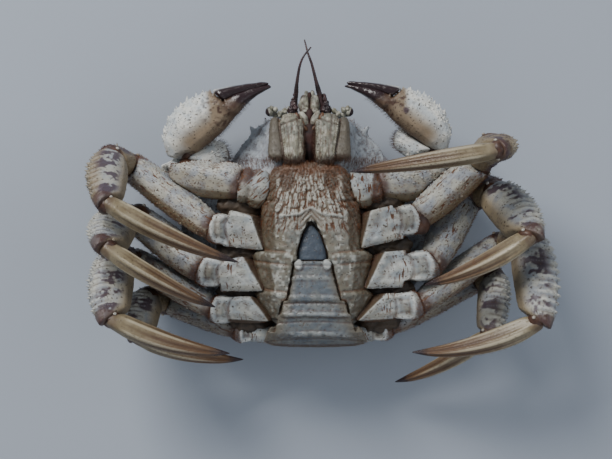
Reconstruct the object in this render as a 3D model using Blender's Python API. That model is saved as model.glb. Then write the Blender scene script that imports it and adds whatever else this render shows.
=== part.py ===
"""A life-size helmet crab lying on its back with its legs folded over its belly.

+Z is up, away from the floor, +Y runs towards the crab's head, and X = 0 is its midline.
The origin is where the middle of the back rests on the floor. Because the crab lies on its back,
its own left side is at +X. Sizes below are in millimetres, and MM turns them into metres.
"""
import math
import random

import bpy
import bmesh
from mathutils import Matrix, Vector
from mathutils.bvhtree import BVHTree

MM = 0.001

# Driving sizes
CARAPACE_FRONT = 39.0
RIM_HEIGHT = 13.0
RIM_DROP = 1.5
BELLY_HEIGHT = 26.0
JOINT_GAP = 0.3
CLEARANCE = 0.45

# The carapace's edge on the crab's left side, from the front round to the back, without its teeth
RIM = [
    (0.0, 38.4), (5.0, 38.4), (8.5, 36.6), (11.5, 34.0), (14.5, 33.2), (18.0, 30.4), (22.0, 25.6),
    (26.0, 19.5), (31.5, 13.0), (37.5, 7.0), (41.5, 1.5), (42.0, -5.0), (39.5, -12.0), (36.0, -19.0),
    (29.5, -27.0), (21.0, -34.0), (14.5, -36.8), (7.0, -38.0), (0.0, -38.2),
]
# Each tooth of the rim: (place of its root, place of its tip, half of its root's width)
RIM_TEETH = [
    ((2.2, 37.6), (2.4, 41.4), 1.5),
    ((7.2, 36.0), (8.0, 38.8), 1.6),
    ((13.6, 31.6), (15.0, 34.8), 1.9),
    ((17.8, 28.8), (19.8, 32.2), 2.2),
    ((28.0, 15.6), (32.0, 19.4), 3.8),
    ((39.4, 3.2), (46.6, 4.6), 4.2),
    ((40.4, -7.4), (44.8, -8.4), 3.0),
    ((35.4, -17.6), (39.4, -20.0), 2.6),
]
RIM_TOOTH_RISE = 0.6
RIM_TOOTH_SINK = 0.25
RIM_TOOTH_FLAT = 0.45
# Raised regions of the back that carry the crab's weight: (centre, radius, rise)
BACK_REGIONS = [
    ((0.0, 0.0), 12.0, 0.8),
    ((0.0, 15.0), 15.0, 1.6),
    ((9.5, 24.0), 6.0, 1.2),
    ((-9.5, 24.0), 6.0, 1.2),
    ((23.0, -4.0), 13.0, 2.6),
    ((-23.0, -4.0), 13.0, 2.6),
    ((0.0, -15.0), 8.0, 1.4),
]

# Half widths of the breast plate (sternum), from front to back: (y, half width, edge height, ridge height)
STERNUM = [
    (18.4, 5.5, 30.5, 31.5),
    (16.6, 10.8, 31.5, 33.5),
    (14.0, 12.6, 32.0, 35.0),
    (6.0, 14.4, 32.5, 36.6),
    (3.6, 15.2, 32.8, 37.0),
    (-8.4, 15.8, 33.0, 37.6),
    (-10.6, 18.8, 32.6, 37.6),
    (-20.6, 16.4, 32.6, 37.2),
    (-23.0, 18.4, 32.0, 37.0),
    (-31.0, 13.6, 31.0, 34.0),
    (-33.2, 11.0, 29.0, 31.0),
]
STERNUM_BASE = 26.3
# Breast plate and tail flap lean to the crab's left, by this share of the way behind this line
LEAN = 0.036
LEAN_FROM = 14.0

# The tail flap (abdomen) along its outer face: (y, height, half width, thickness)
ABDOMEN = [
    (-1.2, 34.4, 0.7, 1.6),
    (-4.0, 35.0, 2.6, 2.0),
    (-9.0, 35.6, 4.2, 2.2),
    (-12.0, 35.8, 4.4, 2.2),
    (-12.3, 36.3, 5.6, 2.6),
    (-18.0, 36.8, 6.6, 2.8),
    (-24.4, 37.4, 8.0, 3.0),
    (-24.8, 36.7, 9.6, 2.6),
    (-28.9, 37.3, 10.4, 3.0),
    (-29.3, 36.6, 11.2, 2.6),
    (-34.6, 36.0, 12.6, 3.0),
    (-35.0, 35.2, 14.8, 2.6),
    (-38.4, 32.0, 16.2, 2.4),
    (-39.4, 27.0, 15.4, 2.2),
    (-39.9, 21.0, 13.6, 2.0),
]
TELSON_STATIONS = 4

# Where each walking leg's joints lie: root, hip, knee, wrist, ankle and tip of the claw
LEGS = {
    "right_leg_1": [(-15.2, -2.4, 31.0), (-30.6, -2.2, 30.5), (-58.0, 18.4, 18.0),
                    (-62.2, 19.6, 30.0), (-60.6, 5.5, 52.0), (-21.9, -12.4, 43.0)],
    "right_leg_2": [(-16.2, -16.6, 31.0), (-34.0, -15.6, 30.0), (-56.2, 1.6, 17.0),
                    (-60.0, -0.6, 27.5), (-61.2, -8.0, 50.0), (-29.0, -26.4, 39.0)],
    "right_leg_3": [(-14.8, -28.0, 29.5), (-30.2, -27.6, 28.5), (-57.2, -11.8, 17.0),
                    (-61.0, -12.0, 27.5), (-60.4, -29.8, 45.5), (-24.8, -41.0, 35.0)],
    "right_leg_4": [(-12.6, -35.2, 23.5), (-23.0, -34.6, 23.5), (-47.0, -26.8, 9.0),
                    (-51.8, -24.0, 18.0), (-53.9, -36.6, 31.0), (-21.3, -44.4, 18.0)],
    "left_leg_1": [(16.4, -1.6, 31.0), (33.6, 1.0, 31.0), (54.2, 18.6, 24.0),
                   (55.8, 22.9, 36.0), (55.2, 21.0, 57.0), (12.2, 14.9, 48.0)],
    "left_leg_2": [(17.6, -15.6, 31.0), (38.6, -13.5, 30.5), (52.2, 10.2, 12.5),
                   (58.8, 9.2, 22.0), (67.0, -4.8, 46.0), (35.7, -19.7, 36.0)],
    "left_leg_3": [(15.8, -27.8, 29.0), (34.6, -26.0, 28.5), (61.3, -7.2, 18.5),
                   (69.0, -5.6, 28.0), (70.3, -31.0, 40.0), (32.4, -41.2, 28.0)],
    "left_leg_4": [(12.6, -35.8, 23.2), (25.4, -33.8, 23.2), (55.2, -19.6, 8.5),
                   (59.4, -18.0, 16.5), (56.6, -35.7, 29.0), (28.0, -52.3, 12.0)],
}
# The corners of each coxa's flat plate: outer and inner in front, then the pointed one, then outer behind
COXA_CORNERS = {
    "right_leg_1": [(-25.0, 3.6, 32.8), (-18.4, 1.6, 33.6), (-14.4, -9.2, 33.2), (-27.2, -7.7, 32.6)],
    "right_leg_2": [(-27.4, -12.6, 32.8), (-21.0, -10.9, 33.4), (-14.6, -21.8, 33.2), (-28.0, -21.8, 32.4)],
    "right_leg_3": [(-26.4, -23.6, 31.0), (-18.8, -23.4, 32.4), (-12.8, -31.2, 31.6), (-24.4, -30.6, 30.6)],
    "left_leg_1": [(25.8, 5.2, 33.2), (19.2, 3.4, 33.6), (16.2, -8.4, 33.2), (29.4, -5.4, 32.8)],
    "left_leg_2": [(30.2, -8.8, 32.8), (23.6, -9.4, 33.4), (17.8, -21.0, 33.2), (29.2, -20.6, 32.6)],
    "left_leg_3": [(31.0, -22.4, 31.0), (24.2, -22.4, 32.4), (15.4, -31.0, 32.0), (28.0, -30.2, 30.4)],
}
# How deep the plate's edges go, and how far they draw in below
COXA_EDGE = 3.8
COXA_UNDERCUT = 0.12
# How many rings of a coxa belong to its broad block; the rest are the narrow ring before the merus
COXA_RINGS = 3
# Full width and thickness of each segment of legs 1 to 4
SEGMENT_SIZES = {
    "coxa": [(11.5, 9.0), (11.5, 9.0), (11.0, 8.5), (8.5, 7.0)],
    "merus": [(14.0, 10.5), (13.5, 10.0), (13.0, 8.5), (11.0, 7.0)],
    "carpus": [(11.5, 8.5), (11.5, 8.5), (11.5, 8.0), (9.0, 6.5)],
    "propodus": [(12.5, 8.5), (14.0, 8.5), (14.0, 8.0), (11.5, 6.5)],
    "dactyl": [(8.2, 6.4), (8.2, 6.2), (8.2, 6.0), (6.8, 5.2)],
}
# How a segment swells along its length: (share of the length, width share, thickness share, bow)
PROFILES = {
    "coxa": [(-0.25, 0.60, 0.60, 0.0), (0.0, 0.86, 0.88, 0.0), (0.25, 1.0, 1.0, 0.0),
             (0.52, 0.96, 0.98, 0.0), (0.64, 0.80, 0.92, 0.0), (0.78, 0.92, 1.08, 0.0),
             (0.95, 0.90, 1.04, 0.0), (1.15, 0.66, 0.74, 0.0)],
    "merus": [(-0.10, 0.44, 0.50, 0.0), (0.0, 0.62, 0.74, 0.0), (0.12, 0.74, 0.88, 0.02),
              (0.35, 0.94, 1.0, 0.05), (0.62, 1.0, 1.0, 0.05), (0.86, 0.92, 0.94, 0.02),
              (1.0, 0.80, 0.86, 0.0), (1.12, 0.56, 0.60, 0.0)],
    "carpus": [(-0.22, 0.44, 0.50, 0.0), (0.0, 0.74, 0.82, 0.0), (0.3, 0.94, 0.96, 0.05),
               (0.65, 1.0, 1.0, 0.05), (1.0, 0.90, 0.94, 0.0), (1.22, 0.56, 0.60, 0.0)],
    "propodus": [(-0.14, 0.44, 0.50, 0.0), (0.0, 0.76, 0.86, 0.0), (0.2, 0.95, 1.0, 0.03),
                 (0.45, 1.0, 1.0, 0.05), (0.7, 0.94, 0.94, 0.04), (0.9, 0.78, 0.82, 0.01),
                 (1.0, 0.68, 0.74, 0.0), (1.12, 0.46, 0.50, 0.0)],
    "dactyl": [(-0.07, 0.50, 0.56, -0.10), (0.0, 0.80, 0.86, -0.04), (0.12, 0.98, 1.0, 0.10),
               (0.3, 1.0, 1.0, 0.26), (0.5, 0.84, 0.86, 0.32), (0.7, 0.60, 0.64, 0.28),
               (0.86, 0.36, 0.40, 0.16), (0.95, 0.18, 0.22, 0.06), (1.0, 0.05, 0.06, 0.0)],
}
SEGMENTS = ["coxa", "merus", "carpus", "propodus", "dactyl"]
SEGMENT_SIDES = 10
FLUTE_DEPTH = 0.14

# Each claw arm (cheliped): its joints, then the claw's wrist and tip
CHELIPEDS = {
    "right_claw": {"root": (-13.2, 9.4, 29.5), "hip": (-21.5, 11.6, 29.5), "elbow": (-41.2, 16.0, 24.0),
                   "inner": (-29.5, 22.0, 16.5), "wrist": (-42.8, 20.6, 22.0), "tip": (-12.4, 43.2, 24.0)},
    "left_claw": {"root": (13.2, 9.4, 29.0), "hip": (21.5, 11.8, 28.5), "elbow": (41.4, 17.0, 22.0),
                  "inner": (31.0, 27.0, 16.5), "wrist": (41.6, 22.5, 22.0), "tip": (11.2, 43.4, 24.0)},
}
# The claw's outline from wrist to tip, as shares of its length: (outer edge, inner edge, thickness)
CHELA_STATIONS = [
    ((-0.05, 0.055), (0.02, 0.010), 0.10),
    ((0.01, 0.190), (0.13, -0.012), 0.23),
    ((0.16, 0.306), (0.30, -0.018), 0.29),
    ((0.36, 0.330), (0.47, 0.000), 0.28),
    ((0.56, 0.278), (0.62, 0.028), 0.23),
    ((0.70, 0.214), (0.75, 0.036), 0.18),
    ((0.84, 0.140), (0.85, 0.026), 0.12),
    ((0.95, 0.074), (0.95, 0.004), 0.075),
    ((1.00, 0.036), (1.00, -0.014), 0.04),
]
# How much further each claw swells on its inner edge, as a share of its length, and where that fades
CHELA_SWELL = {"right_claw": 0.064, "left_claw": 0.014}
CHELA_SWELL_FADE = 0.55
FINGER_START = 4
FINGER_SPLIT = 0.50
FINGER_GAP = 0.5
CHELIPED_SIZES = {"coxa": (12.5, 8.5), "merus": (15.0, 11.0), "carpus": (10.5, 11.0)}

# Rows of spines on each kind of limb piece: (degrees round it from its outer edge, first and last share of
# its length, count, height, half width along the limb, half width across it)
SPINE_ROWS = {
    "merus": [(0, 0.30, 0.97, 5, 1.2, 0.65, 0.65), (125, 0.25, 0.85, 3, 0.8, 0.7, 0.7),
              (-125, 0.25, 0.85, 3, 0.8, 0.7, 0.7)],
    "carpus": [(0, 0.15, 0.90, 3, 1.2, 0.7, 0.8), (45, 0.60, 0.85, 1, 1.0, 0.65, 0.65),
               (-45, 0.60, 0.85, 1, 1.0, 0.65, 0.65)],
    "propodus": [(0, 0.08, 0.92, 7, 1.3, 0.8, 1.3), (34, 0.18, 0.82, 3, 0.7, 0.6, 0.9),
                 (-34, 0.18, 0.82, 3, 0.7, 0.6, 0.9)],
    "claw_merus": [(0, 0.45, 0.92, 3, 1.0, 0.7, 0.7), (50, 0.50, 0.90, 2, 0.8, 0.6, 0.6)],
    "claw_carpus": [(0, 0.20, 0.90, 4, 1.2, 0.7, 0.7), (50, 0.20, 0.90, 3, 1.0, 0.7, 0.7)],
    "palm": [(0, 0.02, 0.66, 10, 1.4, 0.75, 0.75), (26, 0.06, 0.66, 8, 1.2, 0.7, 0.7),
             (-26, 0.06, 0.66, 8, 1.2, 0.7, 0.7), (52, 0.10, 0.62, 6, 1.0, 0.7, 0.7),
             (-52, 0.10, 0.62, 6, 1.0, 0.7, 0.7), (76, 0.16, 0.52, 4, 0.8, 0.65, 0.65)],
    "finger": [(0, 0.74, 0.88, 3, 0.7, 0.5, 0.5)],
}
SPINE_CHECKS = (0.3, 0.65, 1.0)
SPINE_SINK = 0.8
SPINE_LEAN = 0.35
SPINE_ROOM = 0.4
SPINE_SEED = 7
FLOOR_ROOM = 0.5
NEIGHBOUR_REACH = 12.0
RAY_START = 14.0
PALM_MIDDLE = 0.15

# Jaws, eyes and feelers on the crab's left side
MOUTH_PLATE = {"front": (5.6, 33.4, 25.4), "back": (5.9, 19.6, 32.2), "width": 7.0, "thickness": 4.0}
MOUTH_STRAP = {"front": (10.6, 32.4, 24.0), "back": (11.0, 20.6, 30.4), "width": 5.2, "thickness": 3.2}
EYE = {"root": (9.4, 33.4, 19.3), "tip": (13.9, 36.1, 21.1), "radius": 1.7, "stalk": 1.15}
ANTENNAE = {
    "right": [(-4.4, 34.6, 20.0), (-4.6, 37.6, 21.0), (-4.3, 40.5, 22.5), (-4.1, 43.0, 25.0),
              (-3.6, 46.4, 27.5), (-2.9, 49.6, 29.2), (-1.7, 52.2, 29.6), (0.5, 54.9, 29.0)],
    "left": [(4.0, 34.8, 20.0), (4.0, 37.8, 21.0), (3.1, 41.0, 22.0), (2.4, 43.6, 23.8), (1.5, 47.0, 25.2),
             (0.6, 50.4, 25.8), (-0.5, 53.4, 25.8), (-1.6, 57.8, 25.0)],
}
ANTENNA_RADII = [1.2, 1.35, 1.0, 0.62, 0.52, 0.44, 0.36, 0.28]
ANTENNA_STEPS = 16

COLOURS = {
    "shell_back": ((0.42, 0.33, 0.20, 1.0), 0.60),
    "shell_belly": ((0.72, 0.69, 0.60, 1.0), 0.55),
    "tail_flap": ((0.62, 0.66, 0.70, 1.0), 0.45),
    "limb": ((0.74, 0.68, 0.58, 1.0), 0.55),
    "horn": ((0.55, 0.38, 0.20, 1.0), 0.40),
    "dark_tip": ((0.10, 0.06, 0.06, 1.0), 0.30),
    "jaw": ((0.62, 0.54, 0.42, 1.0), 0.60),
    "eye": ((0.03, 0.03, 0.03, 1.0), 0.15),
}


def clear_scene():
    for obj in list(bpy.data.objects):
        bpy.data.objects.remove(obj)


def make_collection(name):
    collection = bpy.data.collections.new(name)
    bpy.context.scene.collection.children.link(collection)
    return collection


def material(name, finish):
    """A material of one of the crab's finishes."""
    colour, roughness = COLOURS[finish]
    made = bpy.data.materials.new(name)
    made.use_nodes = True
    shader = made.node_tree.nodes["Principled BSDF"]
    shader.inputs["Base Color"].default_value = colour
    shader.inputs["Roughness"].default_value = roughness
    shader.inputs["Metallic"].default_value = 0.0
    return made


def place(name, bm, finish, collection):
    """Turns a mesh in millimetres into a named object in metres."""
    bmesh.ops.recalc_face_normals(bm, faces=bm.faces)
    bmesh.ops.scale(bm, vec=(MM, MM, MM), verts=bm.verts)
    mesh = bpy.data.meshes.new(name)
    bm.to_mesh(mesh)
    bm.free()
    mesh.shade_smooth()
    mesh.set_sharp_from_angle(angle=math.radians(40))
    obj = bpy.data.objects.new(name, mesh)
    obj.data.materials.append(material(name, finish))
    collection.objects.link(obj)
    return obj


def loft(bm, rings):
    """Joins rings of equal count into one closed skin with flat ends."""
    loops = [[bm.verts.new(point) for point in ring] for ring in rings]
    for near, far in zip(loops, loops[1:]):
        for i in range(len(near)):
            j = (i + 1) % len(near)
            bm.faces.new((near[i], near[j], far[j], far[i]))
    bm.faces.new(list(reversed(loops[0])))
    bm.faces.new(loops[-1])


def oval(centre, wide, thin, half_wide, half_thin, sides, square=2.4, flute=0.0):
    """A rounded ring of points; flute draws every second point in, which leaves ridges between."""
    points = []
    for i in range(sides):
        angle = 2 * math.pi * (i + 0.5) / sides
        c, s = math.cos(angle), math.sin(angle)
        reach = (abs(c) ** square + abs(s) ** square) ** (-1 / square)
        if i % 2:
            reach *= 1 - flute
        points.append(centre + wide * (half_wide * reach * c) + thin * (half_thin * reach * s))
    return points


def scaled(ring, share):
    """The same ring drawn in towards its middle."""
    middle = sum(ring, Vector()) / len(ring)
    return [middle + (point - middle) * share for point in ring]


def cut(bm, point, normal):
    """Removes what lies beyond a plane and closes the cut."""
    geometry = list(bm.verts) + list(bm.edges) + list(bm.faces)
    bmesh.ops.bisect_plane(bm, geom=geometry, dist=1e-5, plane_co=point, plane_no=normal, clear_outer=True)
    bmesh.ops.edgeloop_fill(bm, edges=[edge for edge in bm.edges if edge.is_boundary])


def smooth_step(value):
    value = max(0.0, min(1.0, value))
    return value * value * (3 - 2 * value)


def smooth_line(points, steps):
    """Points read evenly along a smooth curve through the given ones."""
    padded = [points[0] * 2 - points[1]] + points + [points[-1] * 2 - points[-2]]
    dense = []
    for a, b, c, d in zip(padded, padded[1:], padded[2:], padded[3:]):
        for k in range(8):
            t = k / 8
            dense.append(0.5 * ((2 * b) + (c - a) * t + (2 * a - 5 * b + 4 * c - d) * t * t
                                + (3 * b - a - 3 * c + d) * t ** 3))
    dense.append(points[-1])
    lengths = [0.0]
    for a, b in zip(dense, dense[1:]):
        lengths.append(lengths[-1] + (b - a).length)
    found = []
    for k in range(steps + 1):
        want = lengths[-1] * k / steps
        i = max(j for j in range(len(lengths)) if lengths[j] <= want + 1e-9)
        i = min(i, len(dense) - 2)
        span = max(lengths[i + 1] - lengths[i], 1e-9)
        found.append(dense[i].lerp(dense[i + 1], (want - lengths[i]) / span))
    return found


def inflated(obj, distance, cutters, reach=1.5):
    """A swollen copy of a piece, which cuts its neighbour back to a thin gap."""
    copy = obj.copy()
    copy.data = obj.data.copy()
    copy.name = "swollen_" + obj.name
    cutters.objects.link(copy)
    bm = bmesh.new()
    bm.from_mesh(copy.data)
    bm.normal_update()
    shifts = [vert.normal.copy() * distance * MM * min(vert.calc_shell_factor(), reach) for vert in bm.verts]
    for vert, shift in zip(bm.verts, shifts):
        vert.co += shift
    bm.to_mesh(copy.data)
    bm.free()
    return copy


def apply_boolean(obj, operation, other=None, group=None):
    """Runs one Boolean on a piece, with the second solver where the first leaves it open."""
    before = obj.data
    for solver in ("EXACT", "MANIFOLD"):
        obj.data = before
        modifier = obj.modifiers.new("boolean", "BOOLEAN")
        modifier.operation = operation
        modifier.solver = solver
        if solver == "EXACT":
            modifier.use_self = operation == "DIFFERENCE"
        if group:
            modifier.operand_type = "COLLECTION"
            modifier.collection = group
        else:
            modifier.object = other
        graph = bpy.context.evaluated_depsgraph_get()
        mesh = bpy.data.meshes.new_from_object(obj.evaluated_get(graph))
        obj.modifiers.remove(modifier)
        obj.data = mesh
        keep_largest(obj)
        if is_closed(obj.data):
            return


def is_closed(mesh):
    """Whether a mesh is whole, with two faces at each edge."""
    bm = bmesh.new()
    bm.from_mesh(mesh)
    whole = len(bm.faces) > 0 and all(edge.is_manifold for edge in bm.edges)
    bm.free()
    return whole


def keep_largest(obj):
    """Drops every closed surface but the one that encloses the most."""
    bm = bmesh.new()
    bm.from_mesh(obj.data)
    bmesh.ops.remove_doubles(bm, verts=bm.verts, dist=2e-6)
    left = set(bm.verts)
    islands = []
    while left:
        island, front = set(), [left.pop()]
        while front:
            vert = front.pop()
            island.add(vert)
            for edge in vert.link_edges:
                other = edge.other_vert(vert)
                if other in left:
                    left.remove(other)
                    front.append(other)
        islands.append(island)

    def size(island):
        return max(v.co.x for v in island) - min(v.co.x for v in island) \
            + max(v.co.y for v in island) - min(v.co.y for v in island) \
            + max(v.co.z for v in island) - min(v.co.z for v in island)

    islands.sort(key=size)
    for island in islands[:-1]:
        bmesh.ops.delete(bm, geom=list(island), context="VERTS")
    bm.to_mesh(obj.data)
    bm.free()


def rim_height(y):
    """The carapace's edge stands a little lower at the front and back than at the sides."""
    return RIM_HEIGHT - RIM_DROP * (y / CARAPACE_FRONT) ** 2


def back_height(x, y, share):
    """Height of the back's surface above the floor: a dome with raised regions, flattened where it rests."""
    height = rim_height(y) * share ** 2.7
    for (cx, cy), radius, rise in BACK_REGIONS:
        away = math.hypot(x - cx, y - cy) / radius
        height -= rise * smooth_step(1.25 - away)
    return max(0.0, height)


def belly_height(x, y, share):
    """Height of the underside, which rises from the rim to the flat that carries breast plate and legs."""
    slope = 0.5 if y > -24 else 0.5 - 0.33 * smooth_step((-24 - y) / 8) * smooth_step((26 - abs(x)) / 8)
    rim = rim_height(y)
    height = rim + (BELLY_HEIGHT - rim) * smooth_step((1 - share) / slope)
    mouth = 28.2 - 0.46 * (y - 18)
    inside = smooth_step((15.5 - abs(x)) / 3) * smooth_step((36.5 - y) / 3) * smooth_step((y - 16) / 2)
    return height + max(0.0, mouth - height) * inside


def make_carapace(collection):
    """The shell: a dome below, the underside above, meeting in a toothed rim."""
    half = smooth_line([Vector((x, y, 0)) for x, y in RIM], 26)
    outline = half + [Vector((-p.x, p.y, 0)) for p in reversed(half[1:-1])]
    shares = [0.2, 0.4, 0.58, 0.74, 0.87, 0.95]
    bm = bmesh.new()
    rim = [bm.verts.new((p.x, p.y, rim_height(p.y))) for p in outline]
    for height in (back_height, belly_height):
        rings = []
        for share in shares:
            rings.append([bm.verts.new((p.x * share, p.y * share, height(p.x * share, p.y * share, share)))
                          for p in outline])
        rings.append(rim)
        for near, far in zip(rings, rings[1:]):
            for i in range(len(outline)):
                j = (i + 1) % len(outline)
                bm.faces.new((near[i], near[j], far[j], far[i]))
        centre = bm.verts.new((0, 0, height(0, 0, 0)))
        for i in range(len(outline)):
            j = (i + 1) % len(outline)
            bm.faces.new((centre, rings[0][j], rings[0][i]))
    bmesh.ops.triangulate(bm, faces=bm.faces)
    return place("carapace", bm, "shell_back", collection)


def rim_teeth(group):
    """The flat teeth round the carapace's edge, as closed cones to be joined to it."""
    for side in (1, -1):
        for (rx, ry), (tx, ty), half in RIM_TEETH:
            root = Vector((rx * side, ry, rim_height(ry)))
            tip = Vector((tx * side, ty, rim_height(ty) + RIM_TOOTH_RISE))
            level = Vector((ry - ty, (tx - rx) * side, 0))
            sunk = root - (tip - root) * RIM_TOOTH_SINK
            add_spine(group, sunk, tip, level, half, half * RIM_TOOTH_FLAT, 6)


def add_spine(group, root, tip, along, half_along, half_across, sides=4):
    """A closed cone from root to tip, with its own half widths along a direction and across it."""
    axis = tip - root
    up = axis.normalized()
    first = (along - up * along.dot(up)).normalized()
    second = up.cross(first)
    bm = bmesh.new()
    bmesh.ops.create_cone(bm, cap_ends=True, segments=sides, radius1=1.0, radius2=0.0, depth=axis.length)
    bmesh.ops.translate(bm, vec=(0, 0, axis.length / 2), verts=bm.verts)
    for vert in bm.verts:
        x, y, z = vert.co
        vert.co = root + first * (x * half_along) + second * (y * half_across) + up * z
    return place("spine", bm, "limb", group)


def surface_tree(obj):
    """A search tree of a piece's surface, in millimetres."""
    bm = bmesh.new()
    bm.from_mesh(obj.data)
    bmesh.ops.scale(bm, vec=(1 / MM, 1 / MM, 1 / MM), verts=bm.verts)
    bmesh.ops.triangulate(bm, faces=bm.faces)
    tree = BVHTree.FromBMesh(bm)
    bm.free()
    return tree


def has_room(own, base, tip, radius, trees, grown):
    """Whether a spine keeps clear of every other piece, of their spines and of the floor."""
    if tip.z < FLOOR_ROOM:
        return False
    for share in SPINE_CHECKS:
        point = base.lerp(tip, share)
        need = SPINE_ROOM + radius * (1 - share)
        for name, tree in trees.items():
            near, normal, _, away = tree.find_nearest(point, NEIGHBOUR_REACH)
            if name != own and near and (away < need or (point - near).dot(normal) < 0):
                return False
        if any(other != own and (point - place_on).length < need + radius for other, place_on in grown):
            return False
    return True


def grow_spines(obj, spec, rows, trees, grown, draw, group):
    """Sets rows of spines on one limb piece, each where its neighbours leave room, and fuses them to it."""
    start, end, outer = spec
    axis = (end - start).normalized()
    over = axis.cross(outer).normalized()
    tree = trees[obj.name]
    for degrees, first, last, count, height, half_along, half_across in rows:
        for k in range(count):
            share = first + (last - first) * (k + draw.uniform(-0.15, 0.15)) / max(count - 1, 1)
            turn = math.radians(degrees + draw.uniform(-5, 5))
            away = outer * math.cos(turn) + over * math.sin(turn)
            tall = height * draw.uniform(0.8, 1.15)
            middle = start.lerp(end, share)
            base, normal, _, _ = tree.ray_cast(middle + away * RAY_START, -away)
            if not base or normal.dot(away) < 0.5:
                continue
            grow = (normal + away + axis * SPINE_LEAN * 2).normalized()
            tip = base + grow * tall
            if not has_room(obj.name, base, tip, max(half_along, half_across), trees, grown):
                continue
            wider = (tall + SPINE_SINK) / tall
            add_spine(group, base - grow * SPINE_SINK, tip, axis, half_along * wider, half_across * wider)
            grown += [(obj.name, base.lerp(tip, part)) for part in SPINE_CHECKS]
    if group.objects:
        fuse_group(obj, group)


def fuse_group(obj, group):
    """Joins every piece of a group to one object, then clears the group away."""
    apply_boolean(obj, "UNION", group=group)
    for piece in list(group.objects):
        bpy.data.objects.remove(piece)


def lean(y):
    """How far breast plate and tail flap stand to the crab's left of its middle."""
    return LEAN * max(0.0, LEAN_FROM - y)


def abdomen_frame(index):
    """Centre of the outer face and its outward direction at one station of the tail flap."""
    y, height, _, _ = ABDOMEN[index]
    before = ABDOMEN[max(index - 1, 0)]
    after = ABDOMEN[min(index + 1, len(ABDOMEN) - 1)]
    along = Vector((0, after[0] - before[0], 0.25 * (after[1] - before[1])))
    if index > 10:
        along = Vector((0, after[0] - before[0], after[1] - before[1]))
    along.normalize()
    outward = Vector((1, 0, 0)).cross(along) * -1
    if outward.z < 0 and index < 10:
        outward.negate()
    if outward.y > 0.2:
        outward.negate()
    return Vector((lean(y), y, height)), outward


def abdomen_ring(index):
    """The flap's section at one station: crowned outside, flat inside."""
    centre, outward = abdomen_frame(index)
    _, _, half, thickness = ABDOMEN[index]
    side = Vector((1, 0, 0))
    crown = min(0.06 * half, 0.8)
    shares = [-1.0, -0.8, -0.4, 0.0, 0.4, 0.8, 1.0]
    drops = [0.75, 0.25, 0.04, 0.0, 0.04, 0.25, 0.75]
    outer = [centre + side * (half * s) - outward * (crown * d + d * 0.5) for s, d in zip(shares, drops)]
    inner = [centre + side * (half * s) - outward * (thickness + crown) for s in (0.92, 0.38, -0.38, -0.92)]
    return outer + inner


def make_abdomen(collection):
    """The tail flap with its shingled rings, folded over the back end; the last ring is the telson."""
    bm = bmesh.new()
    loft(bm, [abdomen_ring(i) for i in range(TELSON_STATIONS, len(ABDOMEN))])
    abdomen = place("abdomen", bm, "tail_flap", collection)
    bm = bmesh.new()
    rings = [abdomen_ring(i) for i in range(TELSON_STATIONS)]
    rings[-1] = [point + Vector((0, JOINT_GAP * 0.2, 0)) for point in rings[-1]]
    loft(bm, rings)
    telson = place("telson", bm, "tail_flap", collection)
    return abdomen, telson


def pocket_cutter(cutters):
    """A tool that sinks an open trough for the tail flap into the breast plate."""
    bm = bmesh.new()
    rings = []
    for index in range(len(ABDOMEN) - 2):
        centre, _ = abdomen_frame(index)
        _, _, half, thickness = ABDOMEN[index]
        half += CLEARANCE * 1.3
        low = centre.z - thickness - min(0.06 * half, 0.8) - CLEARANCE * 1.6
        y = centre.y + (CLEARANCE * 3 if index == 0 else 0.0)
        corners = [(-half, low), (-half * 1.04, 60), (half * 1.04, 60), (half, low)]
        rings.append([Vector((centre.x + x, y, z)) for x, z in corners])
    loft(bm, rings)
    return place("pocket_cutter", bm, "shell_belly", cutters)


def make_sternum(collection):
    """The breast plate, with grooves between its segments and a sharp ridge on each side of the flap."""
    bm = bmesh.new()
    rings = []
    for y, half, edge, ridge in STERNUM:
        shoulder = (half * 0.72, (edge + ridge) / 2 + 0.8)
        right = [(half, STERNUM_BASE), (half, edge - 1.2), (half - 0.9, edge)]
        right += [shoulder, (half * 0.42, ridge)]
        middle = [(0.0, ridge - 0.6)]
        left = [(-x, z) for x, z in reversed(right)]
        rings.append([Vector((x + lean(y), y, z)) for x, z in right + middle + left])
    loft(bm, rings)
    return place("sternum", bm, "shell_belly", collection)


def flex_normal(a, b, c):
    """The direction a joint's hinge points in, from the bend at b."""
    return (b - a).cross(c - b).normalized()


def segment_rings(kind, start, end, normal, width, thickness, sides):
    """The rings of one limb segment; its wide side lies in the plane that the limb bends in."""
    axis = (end - start).normalized()
    length = (end - start).length
    wide = normal.cross(axis).normalized()
    thin = axis.cross(wide)
    flute = FLUTE_DEPTH if kind == "dactyl" else 0.0
    rings = []
    for share, w, h, bow in PROFILES[kind]:
        centre = start + axis * (length * share) - wide * (bow * width)
        rings.append(oval(centre, wide, thin, width * w / 2, thickness * h / 2, sides, 2.3, flute))
    return rings


def mitre(before, joint, after):
    """The plane between two segments that meet at a joint."""
    return ((joint - before).normalized() + (after - joint).normalized()).normalized()


def hull(points, group):
    """The block that just encloses some points."""
    bm = bmesh.new()
    for point in points:
        bm.verts.new(point)
    found = bmesh.ops.convex_hull(bm, input=bm.verts)
    spare = set(found["geom_interior"] + found["geom_unused"])
    spare = [item for item in spare if isinstance(item, bmesh.types.BMVert)]
    bmesh.ops.delete(bm, geom=spare, context="VERTS")
    return place("block", bm, "limb", group)


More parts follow.
